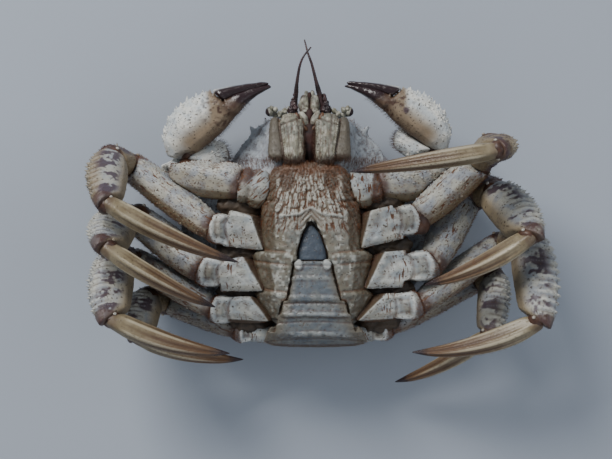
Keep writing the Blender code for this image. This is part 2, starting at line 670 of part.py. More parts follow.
def make_leg(name, collection, pieces, spiny):
    """A walking leg: coxa, merus, carpus, propodus and the horny claw (dactyl).

    Each segment notes in spiny its kind, its two ends and the direction of its outer edge.
    """
    number = int(name[-1]) - 1
    joints = [Vector(point) for point in LEGS[name]]
    made = []
    for i, kind in enumerate(SEGMENTS):
        width, thickness = SEGMENT_SIZES[kind][number]
        start, end = joints[i], joints[i + 1]
        if kind == "coxa":
            normal = flex_normal(joints[0], joints[1], joints[1] + Vector((0, 0, -10)))
        elif kind in ("propodus", "dactyl"):
            normal = flex_normal(joints[3], joints[4], joints[5])
        elif kind == "carpus":
            normal = flex_normal(joints[1], joints[2], joints[3])
            normal += flex_normal(joints[3], joints[4], joints[5])
            normal.normalize()
        else:
            normal = flex_normal(joints[1], joints[2], joints[3])
        bm = bmesh.new()
        rings = segment_rings(kind, start, end, normal, width, thickness, SEGMENT_SIDES)
        if kind == "coxa":
            loft(bm, [scaled(rings[COXA_RINGS - 1], 0.75)] + rings[COXA_RINGS:])
        else:
            loft(bm, rings)
        if i > 0:
            plane = mitre(joints[i - 1], start, end)
            cut(bm, start + plane * (JOINT_GAP / 2), -plane)
        if i < 4:
            plane = mitre(start, end, joints[i + 2])
            cut(bm, end - plane * (JOINT_GAP / 2), plane)
        finish = "horn" if kind == "dactyl" else "limb"
        made.append(place(name + "_" + kind, bm, finish, collection))
        spiny[made[-1].name] = (kind, (start, end, (end - start).cross(normal).normalized()))
        if kind == "coxa":
            block = rings[:COXA_RINGS] + [scaled(rings[COXA_RINGS], 0.96)]
            corners = [Vector(corner) for corner in COXA_CORNERS.get(name, [])]
            middle = start.lerp(end, 0.3)
            for corner in list(corners):
                under = corner.lerp(middle, COXA_UNDERCUT)
                under.z = corner.z - COXA_EDGE
                corners.append(under)
            hull(corners + [point for ring in block for point in ring], pieces)
            fuse_group(made[0], pieces)
    return made


def chela_point(frame, along, out):
    wrist, axis, outward, _, length, _ = frame
    return wrist + axis * (along * length) + outward * (out * length)


def chela_ring(frame, place_on, low, high, sides):
    """One section of the claw between two shares of the way from its inner to its outer edge."""
    i = min(int(place_on), len(CHELA_STATIONS) - 2)
    (outer, inner, thick), (next_outer, next_inner, next_thick) = CHELA_STATIONS[i], CHELA_STATIONS[i + 1]
    t = place_on - i
    outer = [a + (b - a) * t for a, b in zip(outer, next_outer)]
    inner = [a + (b - a) * t for a, b in zip(inner, next_inner)]
    thick += (next_thick - thick) * t
    inner[1] -= frame[5] * min((1.0 - inner[0]) / (1.0 - CHELA_SWELL_FADE), 1.0)
    a = chela_point(frame, *inner)
    b = chela_point(frame, *outer)
    wide = (b - a).normalized()
    near, far = a.lerp(b, low), a.lerp(b, high)
    if low > 0:
        near += wide * FINGER_GAP / 2
    if high < 1:
        far -= wide * FINGER_GAP / 2
    return oval((near + far) / 2, wide, frame[3], (far - near).length / 2, thick * frame[4] / 2, sides, 2.3)


def make_cheliped(name, collection, cutters, spiny):
    """A claw arm: coxa, merus, carpus, the palm with its fixed finger, and the moving finger."""
    spec = {key: Vector(value) for key, value in CHELIPEDS[name].items()}
    side = -1 if name.startswith("right") else 1
    up = Vector((0, 0, 1))
    made = []
    for kind, start, end in (("coxa", "root", "hip"), ("merus", "hip", "elbow")):
        width, thickness = CHELIPED_SIZES[kind]
        bm = bmesh.new()
        loft(bm, segment_rings(kind, spec[start], spec[end], up, width, thickness, SEGMENT_SIDES))
        plane = (spec["elbow"] - spec["root"]).normalized()
        if kind == "coxa":
            cut(bm, spec["hip"] - plane * (JOINT_GAP / 2), plane)
        else:
            cut(bm, spec["hip"] + plane * (JOINT_GAP / 2), -plane)
        made.append(place(name + "_" + kind, bm, "limb", collection))
    width, thickness = CHELIPED_SIZES["carpus"]
    bm = bmesh.new()
    start = spec["elbow"] + Vector((0, 2.0, -3.0))
    loft(bm, segment_rings("carpus", start, spec["inner"], up, width, thickness, SEGMENT_SIDES))
    carpus = place(name + "_carpus", bm, "limb", collection)
    axis = (spec["tip"] - spec["wrist"]).normalized()
    outward = up.cross(axis) * -side
    outward.normalize()
    length = (spec["tip"] - spec["wrist"]).length
    frame = (spec["wrist"], axis, outward, axis.cross(outward), length, CHELA_SWELL[name])
    beyond = list(range(FINGER_START + 1, len(CHELA_STATIONS)))
    hand = [chela_ring(frame, i, 0.0, 1.0, SEGMENT_SIDES) for i in range(FINGER_START + 1)]
    fixed = [chela_ring(frame, i, 0.0, FINGER_SPLIT, SEGMENT_SIDES) for i in [FINGER_START + 0.05] + beyond]
    bm = bmesh.new()
    loft(bm, hand + fixed)
    palm = place(name + "_palm", bm, "limb", collection)
    moving = [chela_ring(frame, i, FINGER_SPLIT, 1.0, SEGMENT_SIDES) for i in [FINGER_START + 0.16] + beyond]
    bm = bmesh.new()
    shoulder = chela_ring(frame, FINGER_START + 0.3, FINGER_SPLIT, 1.0, SEGMENT_SIDES)
    loft(bm, [scaled(moving[0], 0.8), shoulder] + moving[1:])
    finger = place(name + "_finger", bm, "dark_tip", collection)
    bm = bmesh.new()
    loft(bm, hand)
    palm_cutter = inflated(place(name + "_hand", bm, "limb", cutters), CLEARANCE, cutters)
    apply_boolean(carpus, "DIFFERENCE", palm_cutter)
    middle = spec["wrist"] + outward * (PALM_MIDDLE * frame[4])
    run = (middle, middle + spec["tip"] - spec["wrist"], outward)
    spiny[palm.name] = ("palm", run)
    spiny[finger.name] = ("finger", run)
    forward = Vector((0, 1, 0))
    spiny[carpus.name] = ("claw_carpus", (start, spec["inner"], forward))
    spiny[name + "_merus"] = ("claw_merus", (spec["hip"], spec["elbow"], forward))
    return made + [carpus, palm, finger]


def plate_rings(spec, side):
    """Rings of a flat mouth plate from back to front."""
    front = Vector(spec["front"])
    back = Vector(spec["back"])
    front.x *= side
    back.x *= side
    axis = (front - back).normalized()
    wide = Vector((1, 0, 0))
    thin = axis.cross(wide)
    length = (front - back).length
    shares = [(-0.06, 0.62, 0.5), (0.0, 0.86, 0.8), (0.12, 0.98, 1.0), (0.5, 0.96, 1.0), (0.62, 0.90, 0.82),
              (0.68, 0.96, 0.98), (0.9, 0.92, 0.95), (1.0, 0.74, 0.72), (1.05, 0.5, 0.4)]
    half_wide, half_thin = spec["width"] / 2, spec["thickness"] / 2
    return [oval(back + axis * (length * t), wide, thin, half_wide * w, half_thin * h, 8, 3.0)
            for t, w, h in shares]


def make_jaws(side, name, collection, pieces):
    """The outermost foot jaw of one side: a broad plate and the strap beside it."""
    bm = bmesh.new()
    loft(bm, plate_rings(MOUTH_PLATE, side))
    jaw = place(name + "_foot_jaw", bm, "jaw", collection)
    bm = bmesh.new()
    loft(bm, plate_rings(MOUTH_STRAP, side))
    place("strap", bm, "jaw", pieces)
    fuse_group(jaw, pieces)
    return jaw


def make_eye(side, name, collection, pieces):
    """An eye on its short stalk, lying in the orbit."""
    root = Vector(EYE["root"])
    tip = Vector(EYE["tip"])
    root.x *= side
    tip.x *= side
    axis = tip - root
    turn = axis.to_track_quat("Z", "Y").to_matrix().to_4x4()
    centre = tip - axis.normalized() * EYE["radius"]
    bm = bmesh.new()
    bmesh.ops.create_uvsphere(bm, u_segments=10, v_segments=7, radius=EYE["radius"],
                              matrix=Matrix.Translation(centre) @ turn)
    eye = place(name + "_eye", bm, "eye", collection)
    middle = Matrix.Translation((root + centre) / 2)
    bm = bmesh.new()
    bmesh.ops.create_cone(bm, cap_ends=True, segments=8, radius1=EYE["stalk"], radius2=EYE["stalk"] * 0.8,
                          depth=(centre - root).length, matrix=middle @ turn)
    place("stalk", bm, "eye", pieces)
    fuse_group(eye, pieces)
    return eye


def make_antenna(name, collection):
    """A feeler: three stout joints at its root, then the thin whip, as one bevelled curve."""
    points = smooth_line([Vector(point) for point in ANTENNAE[name]], ANTENNA_STEPS)
    curve = bpy.data.curves.new(name + "_feeler", "CURVE")
    curve.dimensions = "3D"
    curve.bevel_depth = MM
    curve.bevel_resolution = 1
    curve.use_fill_caps = True
    spline = curve.splines.new("POLY")
    spline.points.add(len(points) - 1)
    for i, (knot, point) in enumerate(zip(spline.points, points)):
        place_on = i / ANTENNA_STEPS * (len(ANTENNA_RADII) - 1)
        k = min(int(place_on), len(ANTENNA_RADII) - 2)
        knot.co = (*(point * MM), 1)
        knot.radius = ANTENNA_RADII[k] + (ANTENNA_RADII[k + 1] - ANTENNA_RADII[k]) * (place_on - k)
    guide = bpy.data.objects.new(name + "_feeler", curve)
    collection.objects.link(guide)
    mesh = bpy.data.meshes.new_from_object(guide.evaluated_get(bpy.context.evaluated_depsgraph_get()))
    bpy.data.objects.remove(guide)
    bm = bmesh.new()
    bm.from_mesh(mesh)
    bmesh.ops.remove_doubles(bm, verts=bm.verts, dist=1e-6)
    bmesh.ops.scale(bm, vec=(1 / MM, 1 / MM, 1 / MM), verts=bm.verts)
    return place(name + "_antenna", bm, "dark_tip", collection)


def main():
    clear_scene()
    crab = make_collection("helmet_crab")
    cutters = make_collection("cutters")
    pieces = make_collection("pieces")

    carapace = make_carapace(crab)
    sternum = make_sternum(crab)
    abdomen, telson = make_abdomen(crab)
    smooth_shell_cutter = inflated(carapace, CLEARANCE, cutters)
    sternum_cutter = inflated(sternum, CLEARANCE, cutters)
    abdomen_cutter = inflated(abdomen, CLEARANCE, cutters)
    rim_teeth(pieces)
    fuse_group(carapace, pieces)
    shell_cutter = inflated(carapace, CLEARANCE, cutters, 2.2)
    for piece in (abdomen, telson, sternum):
        apply_boolean(piece, "DIFFERENCE", smooth_shell_cutter)
    apply_boolean(sternum, "DIFFERENCE", pocket_cutter(cutters))

    jaws = [make_jaws(1, "left", crab, pieces), make_jaws(-1, "right", crab, pieces)]
    eyes = [make_eye(1, "left", crab, pieces), make_eye(-1, "right", crab, pieces)]
    for piece in jaws + eyes + [make_antenna("left", crab), make_antenna("right", crab)]:
        apply_boolean(piece, "DIFFERENCE", shell_cutter)
    for jaw in jaws:
        apply_boolean(jaw, "DIFFERENCE", sternum_cutter)

    spiny = {}
    claws = {name: make_cheliped(name, crab, cutters, spiny) for name in CHELIPEDS}
    for side in ("right", "left"):
        coxa, merus, carpus, palm, finger = claws[side + "_claw"]
        legs = [make_leg(side + "_leg_" + str(number), crab, pieces, spiny) for number in (1, 2, 3, 4)]
        for leg in legs:
            for cutter in (smooth_shell_cutter, sternum_cutter):
                apply_boolean(leg[0], "DIFFERENCE", cutter)
            apply_boolean(leg[1], "DIFFERENCE", shell_cutter)
        apply_boolean(legs[3][0], "DIFFERENCE", abdomen_cutter)
        for cutter in (smooth_shell_cutter, sternum_cutter):
            apply_boolean(coxa, "DIFFERENCE", cutter)
        for near, far in ((coxa, legs[0][0]), (merus, legs[0][1]), (carpus, carapace), (carpus, merus),
                          (palm, merus)):
            apply_boolean(near, "DIFFERENCE", inflated(far, CLEARANCE, cutters))
    draw = random.Random(SPINE_SEED)
    trees = {obj.name: surface_tree(obj) for obj in crab.objects}
    grown = []
    for name, (kind, spec) in spiny.items():
        if kind in SPINE_ROWS:
            grow_spines(crab.objects[name], spec, SPINE_ROWS[kind], trees, grown, draw, pieces)
    for cutter in cutters.objects:
        cutter.hide_render = True
        cutter.display_type = "WIRE"


main()
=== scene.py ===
# %% [markdown]
# # A helmet crab on its back
# The model is a museum's life-size helmet crab. It lies on its back, so the pale belly, the folded tail
# flap and the undersides of the legs face the camera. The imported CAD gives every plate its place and
# size. This script gives each plate its living surface: rounded shell, spines, granules, bristles,
# joint skin and colour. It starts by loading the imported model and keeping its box.

# %% Load the frame
import math

import bpy
import numpy as np
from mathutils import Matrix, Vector
from mathutils.bvhtree import BVHTree


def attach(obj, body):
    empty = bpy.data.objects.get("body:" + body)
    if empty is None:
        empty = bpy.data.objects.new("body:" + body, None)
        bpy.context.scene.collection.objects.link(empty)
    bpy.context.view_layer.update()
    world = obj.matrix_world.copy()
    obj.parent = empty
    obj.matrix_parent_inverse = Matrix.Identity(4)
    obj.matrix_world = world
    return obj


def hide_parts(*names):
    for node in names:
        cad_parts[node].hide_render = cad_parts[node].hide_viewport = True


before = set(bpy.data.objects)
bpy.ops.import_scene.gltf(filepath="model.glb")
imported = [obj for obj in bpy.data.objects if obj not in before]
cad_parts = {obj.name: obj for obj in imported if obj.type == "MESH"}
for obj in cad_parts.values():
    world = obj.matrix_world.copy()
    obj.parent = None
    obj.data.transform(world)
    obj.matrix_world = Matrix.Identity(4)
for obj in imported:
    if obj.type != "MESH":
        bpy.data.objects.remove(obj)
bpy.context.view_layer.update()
MM = 0.001

# %% [markdown]
# ## Camera, floor and light
# The photograph looks straight down on the crab. A camera a little under half a metre above the table
# with a long lens gives the same framing and the same slight perspective. The floor is one pale sheet.
# Soft area lamps stand in for a north window on the upper left and a white card on the right.

# %% Camera
CAMERA_PLACE = (-0.0011, -0.0025, 0.480)
CAMERA_LENS = 84.28
bpy.ops.object.camera_add(location=CAMERA_PLACE, rotation=(0, 0, 0))
camera = bpy.context.object
camera.data.lens = CAMERA_LENS
camera.data.sensor_width = 36
camera.data.clip_start = 0.01
bpy.context.scene.camera = camera

# %% Floor
FLOOR_SIZE = 3.0
FLOOR_DROP = 0.0002
FLOOR_COLOUR = (0.36, 0.40, 0.46, 1)
bpy.ops.mesh.primitive_plane_add(size=FLOOR_SIZE, location=(0, 0, -FLOOR_DROP))
floor = bpy.context.object
floor.name = "floor"
bpy.ops.object.transform_apply(location=True, rotation=True, scale=True)
paper = bpy.data.materials.new("floor_paper")
paper.use_nodes = True
sheet = paper.node_tree.nodes["Principled BSDF"].inputs
sheet["Base Color"].default_value = FLOOR_COLOUR
sheet["Roughness"].default_value = 0.8
floor.data.materials.append(paper)

# %% Light
LIT_POINT = Vector((0, 0, 0.02))
# Each lamp's name, place and size in m, power in W and colour
LAMPS = [("window", (-0.38, 0.60, 0.62), 0.40, 9.0, (1.0, 0.98, 0.95)),
         ("card", (0.75, 0.1, 0.6), 0.7, 1.8, (0.95, 0.97, 1.0)),
         ("rim", (0.1, -0.8, 0.5), 0.5, 1.0, (1.0, 1.0, 1.0))]
for name, place, size, power, colour in LAMPS:
    turn = (LIT_POINT - Vector(place)).to_track_quat("-Z", "Y").to_euler()
    bpy.ops.object.light_add(type="AREA", location=place, rotation=turn)
    lamp = bpy.context.object
    lamp.name = name
    lamp.data.size = size
    lamp.data.energy = power
    lamp.data.color = colour
world = bpy.data.worlds.new("studio")
bpy.context.scene.world = world
world.use_nodes = True
sky = world.node_tree.nodes["Background"].inputs
sky["Color"].default_value = (0.80, 0.88, 1.0, 1)
sky["Strength"].default_value = 0.35
print("lamps", len(LAMPS))

# %% [markdown]
# ## Reading the limbs from the frame
# A crab's leg is a chain of six pieces. Where two of them face each other their ends are a hair's
# breadth apart, so the corners nearest to the other piece mark the joint. From the joints come each
# segment's axis and its outer edge, the side away from the fold, which carries the spines.

# %% Corners and joints
def corners(node):
    """The corner points of a CAD node, each once."""
    points = np.array([vert.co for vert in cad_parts[node].data.vertices])
    return np.unique(np.round(points, 6), axis=0)


def unit(vector):
    vector = np.asarray(vector, float)
    return vector / max(np.linalg.norm(vector), 1e-12)


JOINT_REACH = 0.7 * MM


def joint_between(near, far):
    """The middle of the place where two nodes face each other."""
    a, b = corners(near), corners(far)
    gaps = np.linalg.norm(a[:, None] - b[None], axis=2)
    close = gaps.min() + JOINT_REACH
    return (a[gaps.min(1) < close].mean(0) + b[gaps.min(0) < close].mean(0)) / 2


def far_end(node, start):
    """The corner of a node that is furthest from a point."""
    points = corners(node)
    return points[np.linalg.norm(points - start, axis=1).argmax()]


class Segment:
    """One segment of a limb: its ends, length and axis, and the ways to its outer edge and to its side."""

    def __init__(self, start, end, outer, kind):
        self.start, self.end, self.outer, self.kind = start, end, outer, kind
        self.length = np.linalg.norm(end - start)
        self.axis = unit(end - start)
        self.side = np.cross(self.axis, outer)


LEG_PARTS = ["coxa", "merus", "carpus", "propodus", "dactyl"]
LEG_NUMBERS = (1, 2, 3, 4)
SIDES = ["left", "right"]
UP, AHEAD = np.array([0, 0, 1.0]), np.array([0, 1.0, 0])
WRIST_CORNERS = 14
limb = {}
for side in SIDES:
    for number in LEG_NUMBERS:
        nodes = [f"{side}_leg_{number}_{part}" for part in LEG_PARTS]
        joints = [joint_between(a, b) for a, b in zip(nodes, nodes[1:])]
        ends = [far_end(nodes[0], joints[0])] + joints + [far_end(nodes[4], joints[3])]
        bends = [np.cross(ends[i] - ends[i - 1], ends[i + 1] - ends[i]) for i in range(1, 5)]
        first, last = unit(bends[1]), unit(bends[3])
        hinges = [None, first, unit(first + last), last, last]
        for i, node in enumerate(nodes):
            axis = unit(ends[i + 1] - ends[i])
            outer = np.cross(axis, hinges[i]) if i else UP
            limb[node] = Segment(ends[i], ends[i + 1], unit(outer - axis * np.dot(outer, axis)), LEG_PARTS[i])
    claw = f"{side}_claw"
    hip = joint_between(claw + "_coxa", claw + "_merus")
    points = corners(claw + "_palm")
    tip = points[points[:, 1].argmax()]
    wrist = points[np.argsort(-np.linalg.norm(points - tip, axis=1))[:WRIST_CORNERS]].mean(0)
    axis = unit(tip - wrist)
    outer = unit(np.cross(axis, UP) * (-1 if side == "right" else 1))
    for part in ("palm", "finger"):
        limb[f"{claw}_{part}"] = Segment(wrist, tip, outer, part)
    for part, start in (("coxa", far_end(claw + "_coxa", hip)), ("merus", hip), ("carpus", None)):
        node = f"{claw}_{part}"
        if part == "carpus":
            start = far_end(node, wrist)
        end = hip if part == "coxa" else far_end(node, start)
        axis = unit(end - start)
        outer = AHEAD if part == "merus" else UP
        limb[node] = Segment(start, end, unit(outer - axis * np.dot(outer, axis)), "claw_" + part)
for node in ("left_leg_1_propodus", "right_claw_palm"):
    print(node, "in mm from", np.round(limb[node].start / MM, 1), "to", np.round(limb[node].end / MM, 1))

# %% [markdown]
# ## A skin over each plate
# The CAD plates have broad flat facets and a few coarse spines. On the real shell the form between the
# spines is smoothly rounded. So a copy of each plate is welded, its coarse spines are pressed flat and
# their places noted, and it is remeshed in small even cells and smoothed. Finer spines grow on it later.

# %% Small tools for meshes
def make_active(piece):
    bpy.ops.object.select_all(action="DESELECT")
    piece.select_set(True)
    bpy.context.view_layer.objects.active = piece


def apply_modifier(piece, kind, **values):
    """Adds one modifier with its values and applies it."""
    make_active(piece)
    modifier = piece.modifiers.new(kind.lower(), kind)
    for key, value in values.items():
        setattr(modifier, key, value)
    bpy.ops.object.modifier_apply(modifier=modifier.name)


def copy_of(node, name):
    """A free copy of a CAD node's mesh, with its doubled corners merged in edit mode."""
    piece = bpy.data.objects.new(name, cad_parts[node].data.copy())
    piece.data.materials.clear()
    bpy.context.scene.collection.objects.link(piece)
    make_active(piece)
    bpy.ops.object.mode_set(mode="EDIT")
    bpy.ops.mesh.select_all(action="SELECT")
    bpy.ops.mesh.remove_doubles(threshold=2e-6)
    bpy.ops.mesh.normals_make_consistent(inside=False)
    bpy.ops.object.mode_set(mode="OBJECT")
    return piece


def points_of(piece, what="co"):
    """The places or the normals of a mesh's corners as an array."""
    values = np.empty(len(piece.data.vertices) * 3)
    piece.data.vertices.foreach_get(what, values)
    return values.reshape(-1, 3)


def surface_of(piece):
    """The places and the normals of a mesh's corners."""
    return points_of(piece), points_of(piece, "normal")


def triangles_of(piece):
    piece.data.calc_loop_triangles()
    triangles = np.empty(len(piece.data.loop_triangles) * 3, np.int32)
    piece.data.loop_triangles.foreach_get("vertices", triangles)
    return triangles.reshape(-1, 3)


def move(piece, points):
    piece.data.vertices.foreach_set("co", np.asarray(points).ravel())
    piece.data.update()


def push_out(piece, distance):
    """Moves each corner along its normal by its own distance."""
    move(piece, points_of(piece) + points_of(piece, "normal") * np.asarray(distance)[:, None])


def paint(piece, name, values):
    """Stores one number for each corner, which the materials read by its name."""
    layer = piece.data.attributes.get(name) or piece.data.attributes.new(name, "FLOAT", "POINT")
    layer.data.foreach_set("value", np.asarray(values, np.float32))


def masks_of(piece, name):
    """Reads back what paint stored."""
    values = np.empty(len(piece.data.vertices), np.float32)
    piece.data.attributes[name].data.foreach_get("value", values)
    return values


ROW_STRETCH = 0.2


def paint_lie(piece, across, lengthwise):
    """Stores for the painted bristle rows how far a corner lies across them and along them.

    The third value differs from piece to piece, so that no two show the same rows."""
    layer = piece.data.attributes.new("lie", "FLOAT_VECTOR", "POINT")
    own = np.full(len(across), len(piece.data.polygons) * 1e-3)
    values = np.stack([across, lengthwise * ROW_STRETCH, own], axis=1)
    layer.data.foreach_set("vector", values.astype(np.float32).ravel())


most = np.maximum


def rise(values, low, high):
    """Goes smoothly from 0 at low to 1 at high."""
    share = np.clip((values - low) / (high - low), 0, 1)
    return share * share * (3 - 2 * share)


def fall(values, low, high):
    """Goes smoothly from 1 at low to 0 at high."""
    return 1 - rise(values, low, high)


def bump(values, middle, half):
    """A smooth hump, 1 at the middle and 0 from the half width on."""
    return np.clip(1 - ((values - middle) / half) ** 2, 0, 1) ** 2


HASH_PRIMES = np.array([73856093, 19349663, 83492791])
LOW_BITS = 0xFFFFFFFF


def noise(points, size, seed=0):
    """Smooth random values from 0 to 1 that change over about the given size."""
    cells = points / size
    base = np.floor(cells).astype(np.int64)
    part = cells - base
    part = part * part * (3 - 2 * part)
    total = np.zeros(len(points))
    for corner in np.ndindex(2, 2, 2):
        key = (base + corner) @ HASH_PRIMES + seed * 7919
        key = ((key ^ (key >> 13)) * 1274126177) & LOW_BITS
        key = ((key ^ (key >> 16)) * 668265263) & LOW_BITS
        value = (key ^ (key >> 15)) / LOW_BITS
        total += value * np.prod(np.where(corner, part, 1 - part), axis=1)
    return total


def patches(points, size, seed, low, high):
    """Irregular patches of about a size in mm: 0 where their noise is low, 1 where it is high."""
    return rise(noise(points, size * MM, seed), low, high)


def around(piece, values):
    """Averages the values of each corner's neighbours."""
    ends = np.empty(len(piece.data.edges) * 2, np.int32)
    piece.data.edges.foreach_get("vertices", ends)
    a, b = ends.reshape(-1, 2).T
    count = most(np.bincount(a, minlength=len(values)) + np.bincount(b, minlength=len(values)), 1)
    return (np.bincount(a, values[b], len(values)) + np.bincount(b, values[a], len(values))) / count


GROOVE_DEPTH = 0.03 * MM


def paint_masks(piece, rust, worn, **masks):
    """Stores the colour masks, and one more that goes from 0 on open ground to 1 in a narrow groove, which
    the materials use to paint shade into grooves.
    """
    masks.update(rust=np.clip(rust, 0, 1), worn=np.clip(worn, 0, 1))
    for name, values in masks.items():
        paint(piece, name, values)
    points, normals = surface_of(piece)
    middle = np.stack([around(piece, points[:, k]) for k in range(3)], axis=1)
    paint(piece, "hollow", np.clip(around(piece, ((middle - points) * normals).sum(1)) / GROOVE_DEPTH, 0, 1))


# %% Press the coarse spines flat and note them
def press_spines(piece, sharpest=235):
    """Lowers each sharp tip to the middle of its root. Gives each spine's root, tip and root radius."""
    points, triangles = points_of(piece), triangles_of(piece)
    angles = np.zeros(len(points))
    for k in range(3):
        a, b, c = (points[triangles[:, (k + i) % 3]] for i in range(3))
        u, v = b - a, c - a
        cosine = (u * v).sum(1) / most(np.linalg.norm(u, axis=1) * np.linalg.norm(v, axis=1), 1e-15)
        np.add.at(angles, triangles[:, k], np.degrees(np.arccos(np.clip(cosine, -1, 1))))
    beside = {tip: set() for tip in np.nonzero(angles < sharpest)[0]}
    for triangle in triangles:
        for corner in triangle:
            if corner in beside:
                beside[corner] |= set(triangle.tolist())
    found = []
    for tip, ring in beside.items():
        ring = [point for point in ring if point not in beside]
        if ring:
            root = points[ring].mean(0)
            found.append((root, points[tip].copy(), np.linalg.norm(points[ring] - root, axis=1).mean()))
            points[tip] = root
    move(piece, points)
    return found


SLICES, SLICES_A_LENGTH, OVERHANG = 25, 20, 0.1


def limb_frame(place, points):
    """Share along a limb piece, then how far out (1 outer edge, -1 inner edge) and to the side a point is.

    The piece's middle and breadth are measured slice by slice, so the shares fit its outline."""
    along = (points - place.start) @ place.axis / place.length
    flat = np.stack([(points - place.start) @ place.outer, (points - place.start) @ place.side], axis=1)
    bins = np.clip(((along + OVERHANG) * SLICES_A_LENGTH).astype(int), 0, SLICES - 1)
    low, high = np.full((SLICES, 2), np.inf), np.full((SLICES, 2), -np.inf)
    np.minimum.at(low, bins, flat)
    np.maximum.at(high, bins, flat)
    held = np.isfinite(low[:, 0])
    middles = (np.arange(SLICES) + 0.5) / SLICES_A_LENGTH - OVERHANG
    low = np.stack([np.interp(along, middles[held], low[held, k]) for k in range(2)], axis=1)
    high = np.stack([np.interp(along, middles[held], high[held, k]) for k in range(2)], axis=1)
    out, across = ((flat - (low + high) / 2) / most((high - low) / 2, 0.2 * MM)).T
    return along, out, across


# %% Skins of the limbs, jaws and body plates
CELLS = {"coxa": 0.38, "merus": 0.44, "carpus": 0.41, "propodus": 0.38, "palm": 0.36, "finger": 0.29,
         "claw_coxa": 0.40, "claw_merus": 0.41, "claw_carpus": 0.41}
BODY_SKINS = [("carapace", 0.54, 6), ("sternum", 0.35, 6), ("abdomen", 0.33, 3), ("telson", 0.26, 3),
              ("left_foot_jaw", 0.30, 6), ("right_foot_jaw", 0.30, 6)]
skins, coarse_spines = {}, {}


def grow_skin(node, cell, rounds, swell=0.0, flat=False):
    """A remeshed, smoothed and slightly swollen copy of a plate, in cells of a size in mm."""
    skin = skins[node] = copy_of(node, node + "_skin")
    coarse_spines[node] = press_spines(skin) if flat else []
    apply_modifier(skin, "REMESH", mode="VOXEL", voxel_size=cell * MM)
    apply_modifier(skin, "SMOOTH", factor=0.5, iterations=rounds)
    if swell:
        apply_modifier(skin, "DISPLACE", strength=swell * MM, mid_level=0.0)
    skin.data.shade_smooth()
    return skin


def grow_horn(node):
    """A rounded copy of a horny claw."""
    skin = skins[node] = copy_of(node, node + "_skin")
    coarse_spines[node] = []
    make_active(skin)
    bpy.ops.object.mode_set(mode="EDIT")
    bpy.ops.mesh.select_all(action="SELECT")
    bpy.ops.mesh.tris_convert_to_quads()
    bpy.ops.object.mode_set(mode="OBJECT")
    apply_modifier(skin, "SUBSURF", levels=3, render_levels=3)
    skin.data.shade_smooth()


for node, place in limb.items():
    if place.kind == "dactyl":
        grow_horn(node)
    elif place.kind in ("coxa", "claw_coxa"):
        grow_skin(node, CELLS[place.kind], 5, 0.05)
    else:
        grow_skin(node, CELLS[place.kind], 14, 0.1, True)
for node, cell, rounds in BODY_SKINS:
    grow_skin(node, cell, rounds, 0.05)
print("skins", len(skins), "corners", sum(len(skin.data.vertices) for skin in skins.values()),
      "coarse spines", sum(map(len, coarse_spines.values())))

# %% [markdown]
# ## Relief and colour masks on the limbs
# The walking legs' broad segments (propodi) carry ten raised cross ridges that end in saw teeth on the
# outer edge. The horny claws (dactyls) have five long ribs. Each hip (coxa) has a flat plate with sharp
# corners, and beyond it a ring with a raised rim round a grey recess. Corners are moved along their normals
# for these, and masks note where the shell is tan, stained violet, rusty or painted with shade, for the
# materials to mix.

# %% Limbs
RIDGES = 10
RIDGE_FIRST, RIDGE_LAST = 0.07, 0.93
RIDGE_LEAN = 0.05
RIDGE_HEIGHT = 0.36 * MM
RIB_HEIGHT = 0.16 * MM
RIBS = 5


def ridge_phase(along, out):
    """Which cross ridge a point is near, counted from the first. Ridges lean back towards the inner side."""
    return (along + RIDGE_LEAN * (1 - out) - RIDGE_FIRST) / (RIDGE_LAST - RIDGE_FIRST) * (RIDGES - 1)


def off_ridge(along, out):
    """From 0 on a cross ridge to 0.5 halfway between two."""
    return np.abs(((ridge_phase(along, out) + 0.5) % 1.0) - 0.5)


# Each hip's flat plate in mm: its outer and inner corner in front, the pointed one, its outer corner behind
HIP_PLATES = {
    "right_leg_1": [(-25.0, 3.6, 32.8), (-18.4, 1.6, 33.6), (-14.4, -9.2, 33.2), (-27.2, -7.7, 32.6)],
    "right_leg_2": [(-27.4, -12.6, 32.8), (-21.0, -10.9, 33.4), (-14.6, -21.8, 33.2), (-28.0, -21.8, 32.4)],
    "right_leg_3": [(-26.4, -23.6, 31.0), (-18.8, -23.4, 32.4), (-12.8, -31.2, 31.6), (-24.4, -30.6, 30.6)],
    "left_leg_1": [(25.8, 5.2, 33.2), (19.2, 3.4, 33.6), (16.2, -8.4, 33.2), (29.4, -5.4, 32.8)],
    "left_leg_2": [(30.2, -8.8, 32.8), (23.6, -9.4, 33.4), (17.8, -21.0, 33.2), (29.2, -20.6, 32.6)],
    "left_leg_3": [(31.0, -22.4, 31.0), (24.2, -22.4, 32.4), (15.4, -31.0, 32.0), (28.0, -30.2, 30.4)],
}


def press_plate(skin, plate, held):
    """Presses a hip's top flat inside its plate and down to steep flanks outside it, where held is 1.

    Gives how far each point lies beyond the plate's edge, and beyond its rear edge, in mm."""
    points = points_of(skin) / MM
    plate = np.array(plate)
    fit = np.linalg.lstsq(np.c_[plate[:, :2], np.ones(4)], plate[:, 2], rcond=None)[0]
    beyond = np.full(len(points), -np.inf)
    for first, second in zip(plate[:3, :2], plate[1:, :2]):
        way = (second - first) / np.linalg.norm(second - first)
        outward = np.array([way[1], -way[0]])
        outward *= np.sign((first - plate[:, :2].mean(0)) @ outward)
        rear = (points[:, :2] - first) @ outward
        beyond = most(beyond, rear)
    level = np.c_[points[:, :2], np.ones(len(points))] @ fit + 1.1
    high = level - 0.5 * bump(beyond, -3.2, 2.4) - 0.7 * rise(rear, -2.6, 0.2) - 2.0 * most(beyond, 0)
    points[:, 2] -= held * most(points[:, 2] - high, 0)
    corner = plate[2] + [0, 0, 0.9]
    pull = 0.75 * np.clip(1 - np.linalg.norm(points - corner, axis=1) / 3.0, 0, 1) ** 1.5
    points += (corner - points) * pull[:, None]
    move(skin, points * MM)
    return beyond, rear

